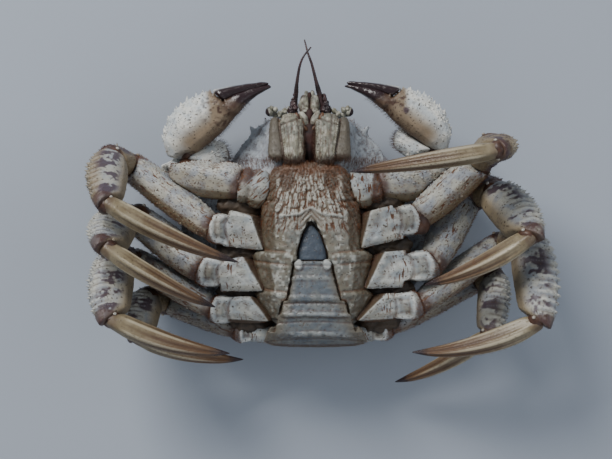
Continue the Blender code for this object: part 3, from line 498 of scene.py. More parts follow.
# %% The legs' broad segments
def shape_propodus(node, first_pair, seed, points, along, out, across, lift, **others):
    """Cross ridges, worn pale on top, with violet stains between them."""

    comb = off_ridge(along, out)
    zone = rise(out, -0.2, 0.6) * rise(along, 0.02, 0.08) * fall(along, 0.95, 1.0)
    if first_pair:
        zone *= 0.25 + 0.75 * rise(out, 0.4, 0.9)
    lift = lift + RIDGE_HEIGHT * zone * (fall(comb, 0.10, 0.42) - 0.35)
    worn = 0.7 * zone * fall(comb, 0.08, 0.28)
    warm = 0.85 * fall(out, -0.75, -0.05)
    patch = noise(np.stack([ridge_phase(along, out) * 1.3, out * 1.6, across * 1.6], axis=1), 1.0, seed)
    patch = 0.70 * patch + 0.30 * noise(points, 0.9 * MM, seed + 5) + 0.10 * rise(along, 0.75, 0.95)
    low = 0.46 if first_pair else 0.54
    stain_and_shade = rise(patch, low, low + 0.04) * rise(out, -0.6, -0.2) * fall(out, 0.6, 0.95)
    rust = 0.9 * fall(along, 0.00, 0.04) + 0.8 * rise(along, 0.955, 0.995)
    if first_pair:
        warm = most(warm, 0.9 if node.startswith("left") else 0.85 * rise(out, 0.35, 0.8))
        worn = worn * (1 - 0.8 * warm)
    return {"lift": lift, "warm": warm, "stain_and_shade": stain_and_shade, "worn": worn, "rust": rust}

# %% The legs' middle segments
def shape_carpus(seed, points, out, **others):
    """Stained violet on the outer side, tan towards the inner side."""

    patch = 0.6 * noise(points, 3.4 * MM, seed) + 0.4 * noise(points, 1.3 * MM, seed + 5)
    stain_and_shade = rise(patch, 0.36, 0.46) * rise(out, -0.7, 0.0)
    warm = 0.35 + 0.6 * fall(out, -0.6, 0.3)
    return {"warm": warm, "stain_and_shade": stain_and_shade}

# %% The legs' long segments
def shape_merus(first_pair, seed, points, normals, along, across, lift, **others):
    """Two knobbly rows lengthwise, and a tan rear."""

    warm = (0.95 if first_pair else 0.6) * rise(-normals[:, 1], -0.25, 0.6)
    dash = (0.25 + 0.75 * bump(np.abs(across), 0.55, 0.4)) * fall(along, 0.80, 0.95)
    patch = 0.6 * noise(points, 3.0 * MM, seed) + 0.4 * noise(points, 1.2 * MM, seed + 5)
    stain_and_shade = 0.8 * rise(patch, 0.60, 0.66) * rise(along, 0.80 if first_pair else 0.45, 0.9)
    lift = lift + 0.35 * MM * bump(np.abs(across), 0.45, 0.25) * (noise(points, 1.0 * MM, seed) - 0.3)
    return {"lift": lift, "warm": warm, "stain_and_shade": stain_and_shade, "dash": dash}

# %% The legs' hips
def shape_coxa(seed, points, normals, along, across, beyond, rear, lift, **others):
    """A ring with rims round a grey recess, a plate with worn edges, and tan flanks; painted shade darkens
    the flanks and the underside.
    """

    bent = along + 0.05 * across ** 2
    ring = rise(bent, 0.72, 0.78)
    sides = bump(np.abs(across), 0.80, 0.20) * rise(0.98 - bent, 0, 0.03)
    rim = most(bump(bent, 0.95, 0.045), ring * sides)
    dish = ring * fall(np.abs(across), 0.45, 0.66) * fall(bent, 0.88, 0.91)
    up = rise(normals[:, 2], 0.0, 0.4)
    lift = lift * (1 - ring) + MM * up * (0.40 * rim - 0.45 * dish - 0.25 * bump(bent, 0.71, 0.03))
    lift += 0.18 * MM * up * (1 - ring) * (noise(points, 1.2 * MM, seed + 6) - 0.5)
    flank = rise(beyond, 0.0, 0.5) * (1 - ring)
    worn = 0.9 * rim * up + 0.4 * (1 - ring) * patches(points, 2.5, seed + 2, 0.5, 0.7)
    edge = patches(points, 1.6, seed + 7, 0.30, 0.60)
    worn = most(worn, 0.6 * edge * bump(beyond, -0.25, 0.35) * (1 - ring)) * (1 - flank)
    strip = (1 - ring) * rise(rear, -2.6, -1.4)
    # Painted shade: the flanks, which drop steeply from the plate's edge, are darkened with the stain colour.
    worn, stain_and_shade = worn * (1 - 0.6 * strip), 0.75 * flank
    # Painted shade: the side facing down is darkened with the rust colour; the rust at the very end is the
    # joint's own.
    rust = 0.7 * rise(along, 0.96, 1.0) + 0.9 * rise(-normals[:, 2], -0.1, 0.5)
    rust = rust + 0.5 * bump(bent, 0.71, 0.03)
    # The flanks are tan brown, darker further down the drop.
    rust = most(rust, flank * (0.35 + 0.5 * rise(beyond, 0.8, 2.5)))
    warm = most(0.45 * dish + 0.35 * patches(points, 4, seed, 0.55, 0.8), flank + 0.45 * strip)
    dash = bump(along, 0.58, 0.26) * patches(points, 3, seed + 4, 0.25, 0.55) * (1 - flank)
    return {"lift": lift, "warm": warm, "stain_and_shade": stain_and_shade, "worn": worn, "rust": rust, "dash": dash}

# %% The legs' horny claws
def shape_dactyl(seed, points, along, out, across, lift, **others):
    """Long ribs with dark grooves between them, and a glossy dark tip."""

    angle = np.arctan2(across, out)
    length = reach = np.hypot(across, out)  # so the painted rows follow the claw's taper
    wave = np.exp(1j * RIBS * angle)
    ribs = (wave * np.conj((wave * (reach - reach.mean())).sum())).real
    ribs /= np.abs(ribs).max()
    body = rise(along, 0.04, 0.14) * fall(along, 0.80, 1.0)
    lift = RIB_HEIGHT * body * (np.sign(ribs) * np.abs(ribs) ** 0.7) + 0.3 * lift * body
    lift += 0.06 * MM * body * np.cos(3 * RIBS * angle)
    warm = rise(along, 0.05, 0.75)
    tip = rise(along + 0.05 * (noise(points, 1.5 * MM, seed) - 0.5), 0.80, 0.93)
    stain_and_shade = 0.8 * rise(-ribs, 0.45, 0.95) * body * rise(along, 0.1, 0.4)
    worn = 0.8 * rise(ribs, 0.55, 0.95) * body * fall(along, 0.5, 0.85)
    dash = 0.9 * rise(along, 0.2, 0.5) * (1 - worn)
    rust = 0.5 * fall(along, 0.0, 0.05)
    return {"lift": lift, "warm": warm, "stain_and_shade": stain_and_shade, "tip": tip, "worn": worn, "rust": rust,
            "dash": dash, "length": length}

# %% The claws' palms and fixed fingers
PALM_CLOSING, FINGER_CLOSING = 1.0 * MM, 0.50 * MM
DARK_SPOT_SHARE = 0.44


def shape_palm(node, place, skin, seed, points, along, out, stain_and_shade, **others):
    """Pale and dotted, dark towards the tip of the fixed finger."""

    edge = -0.05 + 1.8 * rise(along, 0.42, 0.62)
    warm = 0.95 * fall(out, edge - 0.45, edge + 0.45) * rise(along, -0.02, 0.2)
    rust = 0.8 * fall(along, -0.06, 0.03)
    tip = rise(along + 0.05 * (noise(points, 2 * MM, seed) - 0.5) + 0.05 * out, 0.64, 0.72)
    dots = patches(points, 0.8, seed + 3, 0.60, 0.70) * rise(along, 0.30, 0.55)
    rust = most(rust, 0.85 * rise(along, 0.50, 0.62))
    # Painted shade: the inner edge, the claw's side in shadow, is darkened with the rust colour.
    rust = most(rust, 0.7 * rise(-out, 0.72, 1.0) * rise(along, 0.1, 0.3))
    rust = most(rust, dots * fall(out, 0.3, 0.8))
    if node.startswith("left"):
        spot = place.start + DARK_SPOT_SHARE * (place.end - place.start) + place.outer * 1.6 * MM
        away = np.hypot(*(points - spot)[:, :2].T) + 0.5 * MM * noise(points, 0.9 * MM, 3)
        stain_and_shade = fall(away, 0.9 * MM, 1.7 * MM)
    closing = place.outer * PALM_CLOSING
    close = rise(out, -0.2, 0.8) * rise(along, 0.55, 0.63) * (1 - 0.6 * rise(along, 0.80, 1.0))
    move(skin, points + closing * close[:, None])
    return {"warm": warm, "stain_and_shade": stain_and_shade, "tip": tip, "rust": rust}

# %% The claws' moving fingers
def shape_finger(place, skin, seed, points, along, out, **others):
    """Pale at the root and glossy dark from the middle on."""

    tip = rise(along + 0.05 * (noise(points, 2 * MM, seed) - 0.5) - 0.03 * out, 0.52, 0.57)
    tip *= 1 - 0.8 * rise(out, 0.45, 0.85) * fall(along, 0.68, 0.78)
    rust = 0.5 * fall(along, 0.50, 0.54)
    closing = -place.outer * FINGER_CLOSING
    close = rise(-out, 0.0, 0.9) * rise(along, 0.55, 0.63) * fall(along, 0.90, 1.0)
    move(skin, points + closing * close[:, None])
    return {"tip": tip, "rust": rust}

# %% The claw arms
def shape_claw_merus(seed, points, normals, out, **others):
    """Tan behind, worn pale in front."""

    warm = 0.40 * fall(out + 0.5 * (noise(points, 3 * MM, seed) - 0.5), -0.35, 0.25)
    warm = most(warm, 0.9 * rise(-normals[:, 1], 0.3, 0.8))
    worn = 0.6 * rise(out, 0.1, 0.8)
    dash = 0.7 * rise(out, 0.0, 0.4)
    return {"warm": warm, "worn": worn, "dash": dash}


def shape_claw_carpus(normals, along, lift, **others):
    """Smoother than the rest, rusty at one end, and darkened with painted shade where it turns down to the
    palm.
    """

    # Painted shade: the face turned down is darkened with the rust colour; the rust at the end is the joint's
    # own.
    rust = 0.9 * rise(-along, -0.10, 0.0) + 0.8 * rise(-normals[:, 2], -0.1, 0.4)
    lift = 0.3 * lift
    return {"lift": lift, "rust": rust}


def shape_claw_coxa(points, normals, **others):
    """Patchy tan, darker tan on the side facing back as painted shade, with rusty rows on top."""

    # Painted shade: the side facing back, away from the light, is darkened to tan, over the shell's own
    # patchy tan.
    warm = 0.35 * noise(points, 4 * MM) + 0.7 * rise(-normals[:, 1], -0.1, 0.6)
    dash = rise(normals[:, 2], 0.0, 0.4)
    return {"warm": warm, "dash": dash}

# %% Shape each segment
ARM_SETBACK = 3.2 * MM
WRIST_SHIFT = np.array([-3.2, -1.6, 0])
SHAPERS = {"propodus": shape_propodus, "carpus": shape_carpus, "merus": shape_merus, "coxa": shape_coxa,
           "dactyl": shape_dactyl, "palm": shape_palm, "finger": shape_finger, "claw_merus": shape_claw_merus,
           "claw_carpus": shape_claw_carpus, "claw_coxa": shape_claw_coxa}
for node, place in limb.items():
    skin, kind = skins[node], place.kind
    points, normals = surface_of(skin)
    along, out, across = limb_frame(place, points)
    beyond = rear = np.full(len(points), -9.0)
    if kind == "coxa" and node[:-5] in HIP_PLATES:
        beyond, rear = press_plate(skin, HIP_PLATES[node[:-5]], 1 - rise(along, 0.70, 0.80))
        normals = points_of(skin, "normal")
    if kind == "claw_merus":
        ends = np.clip(along, 0, 1)
        points[:, 1] -= ARM_SETBACK * rise(out, 0.0, 1.0) * rise(ends, 0.15, 0.5)
        move(skin, points)
        normals = points_of(skin, "normal")
    if node == "right_claw_carpus":
        height = rise(points[:, 2], points[:, 2].mean() - 1 * MM, points[:, 2].max())
        points += height[:, None] * WRIST_SHIFT * MM
        move(skin, points)
    seed = sum(map(ord, node)) % 97
    masks = dict(zip(("warm", "stain_and_shade", "tip", "worn", "dash"), np.zeros((5, len(points)))))
    masks["rust"] = 0.9 * fall(along, 0.02, 0.12) + 0.9 * rise(along, 0.90, 0.98)
    masks["lift"] = 0.22 * MM * (noise(points, 2.2 * MM, seed) - 0.5)
    masks["length"] = place.length
    masks.update(SHAPERS[kind](node=node, place=place, skin=skin, first_pair="leg_1" in node, seed=seed,
                               points=points, normals=normals, along=along, out=out, across=across,
                               beyond=beyond, rear=rear, **masks))
    push_out(skin, masks.pop("lift"))
    lie = [(points - place.start) @ place.side, along * masks.pop("length")]
    if kind.endswith("coxa"):
        lie.reverse()
    paint_lie(skin, *lie)
    paint_masks(skin, **masks)
print("limb segments shaped", len(limb))

# %% [markdown]
# ## Relief and colour masks on the body
# The breast plate has sutures that run in from its edges, streaks of raised shell between rusty bristles in
# front, and a sharp rim round the pocket that the tail flap lies in. The flap has raised cross ridges. The
# rim and back of the main shell are rough with granules, which the back shows in orange brown.

# %% Body plates
# In mm: y of the sutures and grooves, (y, height) of the ridges, (x, y) of the flap's knob and of a hollow
SUTURES = [6.6, -8.9, -12.8, -21.3, -30.8]
FLAP_RIDGES = [(-17.5, 0.22), (-23.4, 0.28), (-28.6, 0.55), (-34.9, 0.60)]
FLAP_GROOVES = [-13.6, -25.2, -31.0, -36.6]
FLAP_BOW = 0.0045
FLAP_KNOB = (4.4, -13.4)
BREAST_RECESS = (7.0, 12.6)


def tree_of(*nodes):
    """A search tree over the CAD shapes of some nodes."""
    spots, faces = [], []
    for node in nodes:
        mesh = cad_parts[node].data
        first = len(spots)
        spots += [vert.co.copy() for vert in mesh.vertices]
        faces += [[first + corner for corner in face.vertices] for face in mesh.polygons]
    return BVHTree.FromPolygons(spots, faces)


def nearness(points, tree, reach):
    """1 where a surface touches, 0 from the reach on."""
    found = [tree.find_nearest(Vector(point), reach)[3] for point in points]
    return 1 - np.array([reach if gap is None else gap for gap in found]) / reach


def middle_at(y):
    """The breast plate's and tail flap's midline, in mm: it leans to the crab's left towards the back."""
    return 0.036 * most(14 - y, 0)


def fanned(points):
    """Places on the breast in mm from its midline, drawn apart towards the front, where its rows converge."""
    x, y = points[:, 0] / MM, points[:, 1] / MM
    return (x - middle_at(y)) / (1 - 0.034 * np.clip(y - 1, -5, 16)), y


def breast_scales(points, width=2.1, length=5.0, seed=31):
    """Raised lozenges in lengthwise rows on the breast: 1 at a lozenge's middle, 0 in the lines between."""
    x, y = fanned(points)
    row = x / width + 1.1 * (noise(points, 2.6 * MM, seed) - 0.5)
    shift = (np.floor(row) * 0.618) % 1.0
    step = y / length + shift + 0.7 * (noise(points, 3.1 * MM, seed + 1) - 0.5)
    across, ahead = row % 1.0 - 0.5, step % 1.0 - 0.5
    return (1 - (2 * np.abs(across)) ** 2.4) * (1 - (2 * np.abs(ahead)) ** 6)


def jaw_lines(y):
    """Of a foot jaw at some y, in mm from the middle: its inner edge, its plate's edge on the CAD plate, and
    where the skin has the plate's edge."""
    plate_edge = np.interp(y, [19.6, 31.0], [7.9, 9.7])
    return np.full(len(y), 2.3), np.interp(y, [19.6, 33.4], [9.4, 9.1]), plate_edge


JAW_INNER_EDGE = 1.65
JAW_OUTER_EDGE, JAW_NEW_OUTER_EDGE = 13.4, 13.0
flap_tree = tree_of("abdomen", "telson")

# %% The breast plate
def shape_sternum(points, normals, x, y, facing, lift, rust, **others):
    """Sutures, scales with rusty lines, a crest, chevrons, and a hollow on each side; painted shade darkens
    the hollows, the steep side banks and the shell beside the tail flap.
    """

    edge = rise(np.abs(x), 5.5, 9.5)
    for suture in SUTURES:
        bend = suture - 0.10 * (14 - np.abs(x))
        lift -= 0.42 * edge * bump(y, bend, 0.75) * facing
        lift += 0.16 * edge * bump(y, bend - 1.3, 0.9) * facing
        rust = most(rust, 0.55 * edge * bump(y, bend, 0.55))
    crest_line = 4.5 - 0.62 * np.minimum(np.abs(x), 3.4) - 0.12 * most(np.abs(x) - 3.4, 0)
    below = rise(y, -5.0, -1.5) * rise(np.abs(x), 2.8, 4.2)
    front = most(rise(y - crest_line, -0.6, 0.8), 0.6 * below)
    scales, small = breast_scales(points), breast_scales(points, 0.72, 2.4, 41)
    grain = 0.30 * front * (rise(small, 0.15, 0.6) - 0.5)
    lift += (0.55 * front * (rise(scales, 0.05, 0.50) - 0.4) + grain) * facing
    rust = most(rust, front * fall(scales, 0.05, 0.26) * 0.95)
    rust = most(rust, 0.5 * front * fall(small, 0.02, 0.25))
    hairy = rise(y + 1.6 * (noise(points, 1.5 * MM, 19) - 0.5), 13.2, 15.8)
    rust = most(rust, 0.75 * hairy)
    crest = bump(y - crest_line, 0, 0.8) * fall(np.abs(x), 9.0, 11.0)
    chevron = np.abs(((y + 1.1 * np.abs(x) - 0.75) / 1.75) % 1.0 - 0.5) * 2
    inner = rise(chevron, 0.45, 0.85) * fall(np.abs(x), 2.6, 3.6) * rise(y, -4.5, -3.0)
    inner *= fall(y - crest_line, -0.8, 0.0)
    lift += (0.65 * crest + 0.40 * inner) * facing
    worn = np.clip(0.95 * crest + 0.8 * inner + 0.85 * front * rise(scales, 0.30, 0.65), 0, 1)
    worn *= 1 - 0.75 * hairy
    rust *= 1 - 0.9 * most(crest, inner)
    dash = np.clip(front + 0.8 * below, 0, 1) * (1 - 0.8 * crest)
    away = np.hypot((np.abs(x) - BREAST_RECESS[0]) / 2.9, (y - BREAST_RECESS[1]) / 3.6)
    recess = fall(away, 0.6, 1.1)
    lift -= 1.1 * recess * facing
    # Painted shade: the hollow is darkened with the stain colour; the dark hairy front is the plate's own.
    stain_and_shade = most(recess, 0.9 * hairy) * (0.65 + 0.35 * rise(small, 0.3, 0.0))
    worn *= 1 - 0.85 * recess
    rust *= 0.55 + 0.45 * patches(points, 1.8, 18, 0.25, 0.6)
    rear = fall(y, -4.0, 1.0)
    lift += 0.30 * rear * (noise(points, 0.9 * MM, 15) - 0.5)
    worn = most(worn, 0.75 * rear * patches(points, 0.9, 17, 0.60, 0.74))
    # Painted shade: the shell next to the tail flap is darkened with the rust colour.
    rust = most(rust, rise(nearness(points, flap_tree, 1.3 * MM), 0.15, 0.7))
    # Painted shade: the steep side banks facing the hips are darkened with tan and the stain colour.
    bank = rise(np.abs(normals[:, 0]) + 0.2 * (noise(points, 1.2 * MM, 20) - 0.5), 0.35, 0.75)
    bank *= rise(np.abs(x), 9, 11)
    rust *= 1 - bank
    worn *= 1 - bank
    stain_and_shade = most(stain_and_shade, 0.5 * bank)
    warm = most(0.55 * patches(points, 5, 4, 0.40, 0.75) + 0.15 * front, bank)
    return {"lift": lift, "warm": warm, "stain_and_shade": stain_and_shade, "worn": worn, "rust": rust, "dash": dash}

# %% The tail flap
def shape_abdomen(points, normals, x, y, facing, lift, worn, rust, **others):
    """Cross ridges with pale worn tops, grooves and two knobs."""

    bowed = y + FLAP_BOW * x * x
    for middle, height in FLAP_RIDGES:
        ridge = bump(bowed, middle, 1.05) * facing * fall(np.abs(x), 9, 13)
        patchy = patches(points, 1.4, 26, 0.25, 0.60)
        lift += height * ridge * (0.8 + 0.4 * patchy)
        worn = most(worn, ridge * (0.15 + height) * patchy)
    for groove in FLAP_GROOVES:
        lift -= 0.28 * bump(bowed, groove, 0.5) * facing
        rust = most(rust, 0.28 * bump(bowed, groove, 0.45))
    away = np.hypot((np.abs(x) - FLAP_KNOB[0]) / 1.7, (y - FLAP_KNOB[1]) / 2.2)
    knob = rise(bump(away, 0, 1.0), 0.0, 0.5)
    lift += 0.9 * knob * facing
    worn = most(worn * 0.7, 1.25 * knob)
    warm = 0.75 * rise(np.abs(x) / np.interp(-y, [12, 25, 40], [6.0, 9.0, 16.0]), 0.55, 0.95)
    lift += 0.22 * (noise(points, 0.8 * MM, 25) - 0.5)
    # Painted shade: the faces turned down, under the flap's edges, are darkened with the rust colour.
    rust = most(rust, 0.8 * rise(-normals[:, 2], -0.5, -0.1))
    return {"lift": lift, "warm": warm, "worn": worn, "rust": rust}

# %% The tail flap's end piece, the foot jaws and the main shell
def shape_telson(points, lift, **others):
    """Smooth, with a few dark stains."""

    lift *= 0.6
    stain_and_shade = 0.5 * patches(points, 1.6, 8, 0.55, 0.75)
    return {"lift": lift, "stain_and_shade": stain_and_shade}


def shape_foot_jaw(skin, points, x, y, facing, lift, rust, **others):
    """Moved towards the middle, with lengthwise grooves and a seam across."""

    inner, edge, plate_edge = jaw_lines(y)
    across = (np.abs(x) - inner) / (edge - inner)
    stretch = (JAW_NEW_OUTER_EDGE - plate_edge) / (JAW_OUTER_EDGE - edge)
    moved = np.where(across < 1, JAW_INNER_EDGE + across * (plate_edge - JAW_INNER_EDGE),
                     plate_edge + (np.abs(x) - edge) * stretch)
    points[:, 0] = np.sign(x) * moved * MM
    move(skin, points)
    for groove, deep in ((0.22, 0.16), (0.68, 0.22), (1.0, 0.35)):
        lift -= deep * bump(across, groove, 0.07) * facing
        rust = most(rust, 2.2 * deep * bump(across, groove, 0.09))
    seam = y - (30.4 + 0.35 * (9.5 - moved))
    lift -= 0.30 * bump(seam, 0, 0.45) * facing * (across < 1)
    rust = most(rust, 0.6 * bump(seam, 0, 0.55) * (across < 1))
    lift += 0.34 * (noise(points * [1, 0.4, 1], 0.75 * MM, 27) - 0.4) * facing * (across < 1)
    dash = 0.55 * (across < 1)
    warm = 0.9 * rise(across, 0.98, 1.08)
    worn = 0.75 * rise(noise(points * [1, 0.5, 1], 0.7 * MM, 28), 0.5, 0.7) * (across < 1)
    rust = most(rust, 0.95 * fall(across, -0.02, 0.10))
    rust = most(rust, 0.85 * fall(y, 18.6, 20.4))
    return {"lift": lift, "warm": warm, "worn": worn, "rust": rust, "dash": dash}


def shape_carapace(points, normals, x, y, z, lift, **others):
    """Rough all over: orange brown on the back, pale with rusty patches on the belly side."""

    back = rise(-normals[:, 2], -0.25, 0.35) * fall(z, 13.5, 17)
    warm = back
    stain_and_shade = rise(0.6 * noise(points, 6 * MM, 5) + 0.4 * noise(points, 2 * MM, 6), 0.50, 0.62)
    stain_and_shade *= 0.15 + 0.7 * back
    lift += 0.30 * (noise(points, 0.9 * MM, 12) - 0.5)
    rust = 0.5 * patches(points, 3.5, 11, 0.55, 0.8) * (1 - back) * (1 - rise(np.abs(x), 26, 30) * 0.7)
    rust *= 1 - rise(y, 17, 20) * 0.85
    folds = rise(z, 19, 23) * fall(y, 12, 17) * fall(np.abs(x), 30, 38)
    warm = most(warm, 0.75 * folds)
    rust = most(rust, 0.7 * folds * patches(points, 2.5, 13, 0.3, 0.7))
    stain_and_shade *= 1 - folds
    return {"lift": lift, "warm": warm, "stain_and_shade": stain_and_shade, "rust": rust}

# %% Shape each plate
BODY_SHAPERS = {"sternum": shape_sternum, "abdomen": shape_abdomen, "telson": shape_telson,
                "left_foot_jaw": shape_foot_jaw, "right_foot_jaw": shape_foot_jaw, "carapace": shape_carapace}
for node in [row[0] for row in BODY_SKINS]:
    skin = skins[node]
    points, normals = surface_of(skin)
    x, y, z = points.T / MM
    facing = rise(normals[:, 2], -0.1, 0.5)
    masks = dict(zip(("warm", "stain_and_shade", "tip", "rust", "worn", "dash"), np.zeros((6, len(points)))))
    masks["lift"] = 0.20 * (noise(points, 1.3 * MM, 3) - 0.5)
    if node in ("sternum", "abdomen", "telson"):
        x = x - middle_at(y)
    masks.update(BODY_SHAPERS[node](skin=skin, points=points, normals=normals, x=x, y=y, z=z, facing=facing,
                                    **masks))
    push_out(skin, masks.pop("lift") * MM)
    points = points_of(skin)
    points[:, 2] = most(points[:, 2], 0)
    move(skin, points)
    paint_lie(skin, *(value * MM for value in fanned(points)))
    paint_masks(skin, **masks)
print("body plates shaped")

# %% [markdown]
# ## Shell finishes
# Crab shell is pale lime-stiffened skin with darker pits, rusty bristle beds and stained patches. One
# shared node group makes the marks from object coordinates, and one mixes the colours by the masks that
# the skins carry, painted shade among them. Each material keeps its own Principled shader with its own
# colours.

# %% Tools for node trees
def feed(tree, socket, value):
    """Links another node's output to a socket, or sets the socket's constant. Colours get their alpha."""
    if isinstance(value, bpy.types.NodeSocket):
        tree.links.new(value, socket)
    else:
        socket.default_value = (*value, 1) if socket.type == "RGBA" else value


def add(tree, kind, inputs=(), **settings):
    """Adds a shader node, sets its options, and links or sets its inputs. Gives its outputs."""
    made = tree.nodes.new(kind)
    for key, value in settings.items():
        setattr(made, key, value)
    for key, value in dict(inputs).items():
        feed(tree, made.inputs[key], value)
    return made.outputs


def mix(tree, share, first, second, blend="MIX"):
    """Mixes two colours."""
    inputs = {0: share, 6: first, 7: second}
    return add(tree, "ShaderNodeMix", inputs, data_type="RGBA", blend_type=blend, clamp_factor=True)[2]


def maths(tree, operation, first, second, clamp=True):
    return add(tree, "ShaderNodeMath", {0: first, 1: second}, operation=operation, use_clamp=clamp)[0]


def times(tree, first, second):
    return maths(tree, "MULTIPLY", first, second)


def noise_node(tree, vector, scale, detail):
    return add(tree, "ShaderNodeTexNoise", {"Vector": vector, "Scale": scale, "Detail": detail})


def ramp(tree, value, low, high):
    """Goes smoothly from 0 at low to 1 at high."""
    inputs = {"Value": value, "From Min": low, "From Max": high}
    return add(tree, "ShaderNodeMapRange", inputs, interpolation_type="SMOOTHSTEP")["Result"]


def attribute(tree, name):
    return add(tree, "ShaderNodeAttribute", attribute_name=name)["Fac"]


FLOAT, COLOUR, DIRECTION = "NodeSocketFloat", "NodeSocketColor", "NodeSocketVector"


def new_group(name, inputs, outputs):
    """An empty shader node group with named sockets. Gives its tree, what it is given, and its results."""
    tree = bpy.data.node_groups.new(name, "ShaderNodeTree")
    for title, kind, value in inputs:
        socket = tree.interface.new_socket(name=title, in_out="INPUT", socket_type=kind)
        socket.default_value = (*value, 1) if kind == COLOUR else value
    for title, kind in outputs:
        tree.interface.new_socket(name=title, in_out="OUTPUT", socket_type=kind)
    return tree, tree.nodes.new("NodeGroupInput").outputs, tree.nodes.new("NodeGroupOutput").inputs


# %% Marks in the shell: mottle, grain, pits and cracks
MARKS = ["Mottle", "Grain", "Pits", "Cracks"]
marks, given, results = new_group("shell_marks", [], [(title, FLOAT) for title in MARKS])
place_in = add(marks, "ShaderNodeTexCoord")["Object"]
mottle = noise_node(marks, place_in, 260.0, 4.0)["Fac"]
grain = noise_node(marks, place_in, 1500.0, 3.0)["Fac"]
wobble = noise_node(marks, place_in, 600.0, 2.0)["Color"]
shift = add(marks, "ShaderNodeVectorMath", {0: wobble, 1: (0.0022, 0.0022, 0.0022)}, operation="MULTIPLY")[0]
moved = add(marks, "ShaderNodeVectorMath", {0: place_in, 1: shift}, operation="ADD")[0]
cells = add(marks, "ShaderNodeTexVoronoi", {"Vector": moved, "Scale": 1050.0})
chosen = ramp(marks, cells["Color"], 0.45, 0.55)
near = maths(marks, "SUBTRACT", 1.0, ramp(marks, cells["Distance"], 0.16, 0.34))
pits = times(marks, chosen, near)
lines = add(marks, "ShaderNodeTexVoronoi", {"Vector": moved, "Scale": 420.0}, feature="DISTANCE_TO_EDGE")
lines = maths(marks, "SUBTRACT", 1.0, ramp(marks, lines["Distance"], 0.02, 0.09))
cracks = times(marks, lines, ramp(marks, mottle, 0.47, 0.60))
for title, value in zip(MARKS, (mottle, grain, pits, cracks)):
    marks.links.new(value, results[title])
print("nodes that make the marks", len(marks.nodes))

# %% Colours of the shell, mixed by the masks
PIT_COLOUR, ROW_COLOUR = (0.065, 0.045, 0.028), (0.105, 0.042, 0.016)
GRAIN_LIGHT = (1.12, 1.11, 1.08)
TIP_ROUGHNESS = 0.17
RELIEF_DEPTH = 0.00025
tree, given, results = new_group(
    "shell_paint",
    [("Pale", COLOUR, (0.6, 0.6, 0.55)), ("Cool", COLOUR, (0.45, 0.5, 0.55)),
     ("Warm", COLOUR, (0.35, 0.22, 0.1)), ("Worn", COLOUR, (0.68, 0.69, 0.65)),
     ("Stain and shade", COLOUR, (0.13, 0.06, 0.11)), ("Rust", COLOUR, (0.16, 0.05, 0.02)),
     ("Tip", COLOUR, (0.05, 0.02, 0.02)), ("Pit share", FLOAT, 0.7), ("Crack share", FLOAT, 0.5),
     ("Rough", FLOAT, 0.5), ("Relief", FLOAT, 0.5)],
    [("Colour", COLOUR), ("Roughness", FLOAT), ("Normal", DIRECTION)])
paint_group = tree
mask = {name: attribute(tree, name) for name in ("dash", "tip", "warm", "worn", "stain_and_shade", "hollow", "rust")}
lie = add(tree, "ShaderNodeAttribute", attribute_name="lie")["Vector"]
rows = noise_node(tree, lie, 1500.0, 1.5)["Fac"]
dashes = times(tree, ramp(tree, rows, 0.56, 0.62), mask["dash"])
mark = add(tree, "ShaderNodeGroup", node_tree=marks)
base = mix(tree, ramp(tree, mark["Mottle"], 0.40, 0.62), given["Pale"], given["Cool"])
base = mix(tree, times(tree, mask["warm"], 0.95), base, given["Warm"])
base = mix(tree, times(tree, mask["worn"], 0.8), base, given["Worn"])
base = mix(tree, ramp(tree, mark["Grain"], 0.30, 0.75), base, GRAIN_LIGHT, "MULTIPLY")
base = mix(tree, times(tree, mask["stain_and_shade"], 0.9), base, given["Stain and shade"])
cracks = times(tree, mark["Cracks"], given["Crack share"])
# Painted shade in narrow grooves, joined with the cracks and the rust, mixed towards the rust colour.
groove_shade_cracks_and_rust = maths(tree, "ADD", times(tree, mask["hollow"], 0.55), cracks)
groove_shade_cracks_and_rust = maths(tree, "MAXIMUM", groove_shade_cracks_and_rust, times(tree, mask["rust"], ramp(tree, mark["Mottle"], 0.20, 0.50)))
base = mix(tree, groove_shade_cracks_and_rust, base, given["Rust"])
base = mix(tree, times(tree, mark["Pits"], given["Pit share"]), base, PIT_COLOUR)
base = mix(tree, dashes, base, ROW_COLOUR)
base = mix(tree, mask["tip"], base, given["Tip"])
glaze = {"Value": mask["tip"], "To Min": given["Rough"], "To Max": TIP_ROUGHNESS}
rough = add(tree, "ShaderNodeMapRange", glaze)
height = maths(tree, "SUBTRACT", mark["Grain"], mark["Pits"], clamp=False)
height = maths(tree, "SUBTRACT", height, dashes, clamp=False)
relief = {"Height": height, "Strength": given["Relief"], "Distance": RELIEF_DEPTH}
normal = add(tree, "ShaderNodeBump", relief)["Normal"]
for title, value in (("Colour", base), ("Roughness", rough["Result"]), ("Normal", normal)):
    tree.links.new(value, results[title])
print("nodes that mix the colours", len(tree.nodes))

# %% Shell materials
finish = {}


def new_finish(name):
    """A new material. Gives its node tree and the inputs of its Principled shader."""
    made = finish[name] = bpy.data.materials.new(name)
    made.use_nodes = True
    return made.node_tree, made.node_tree.nodes["Principled BSDF"].inputs
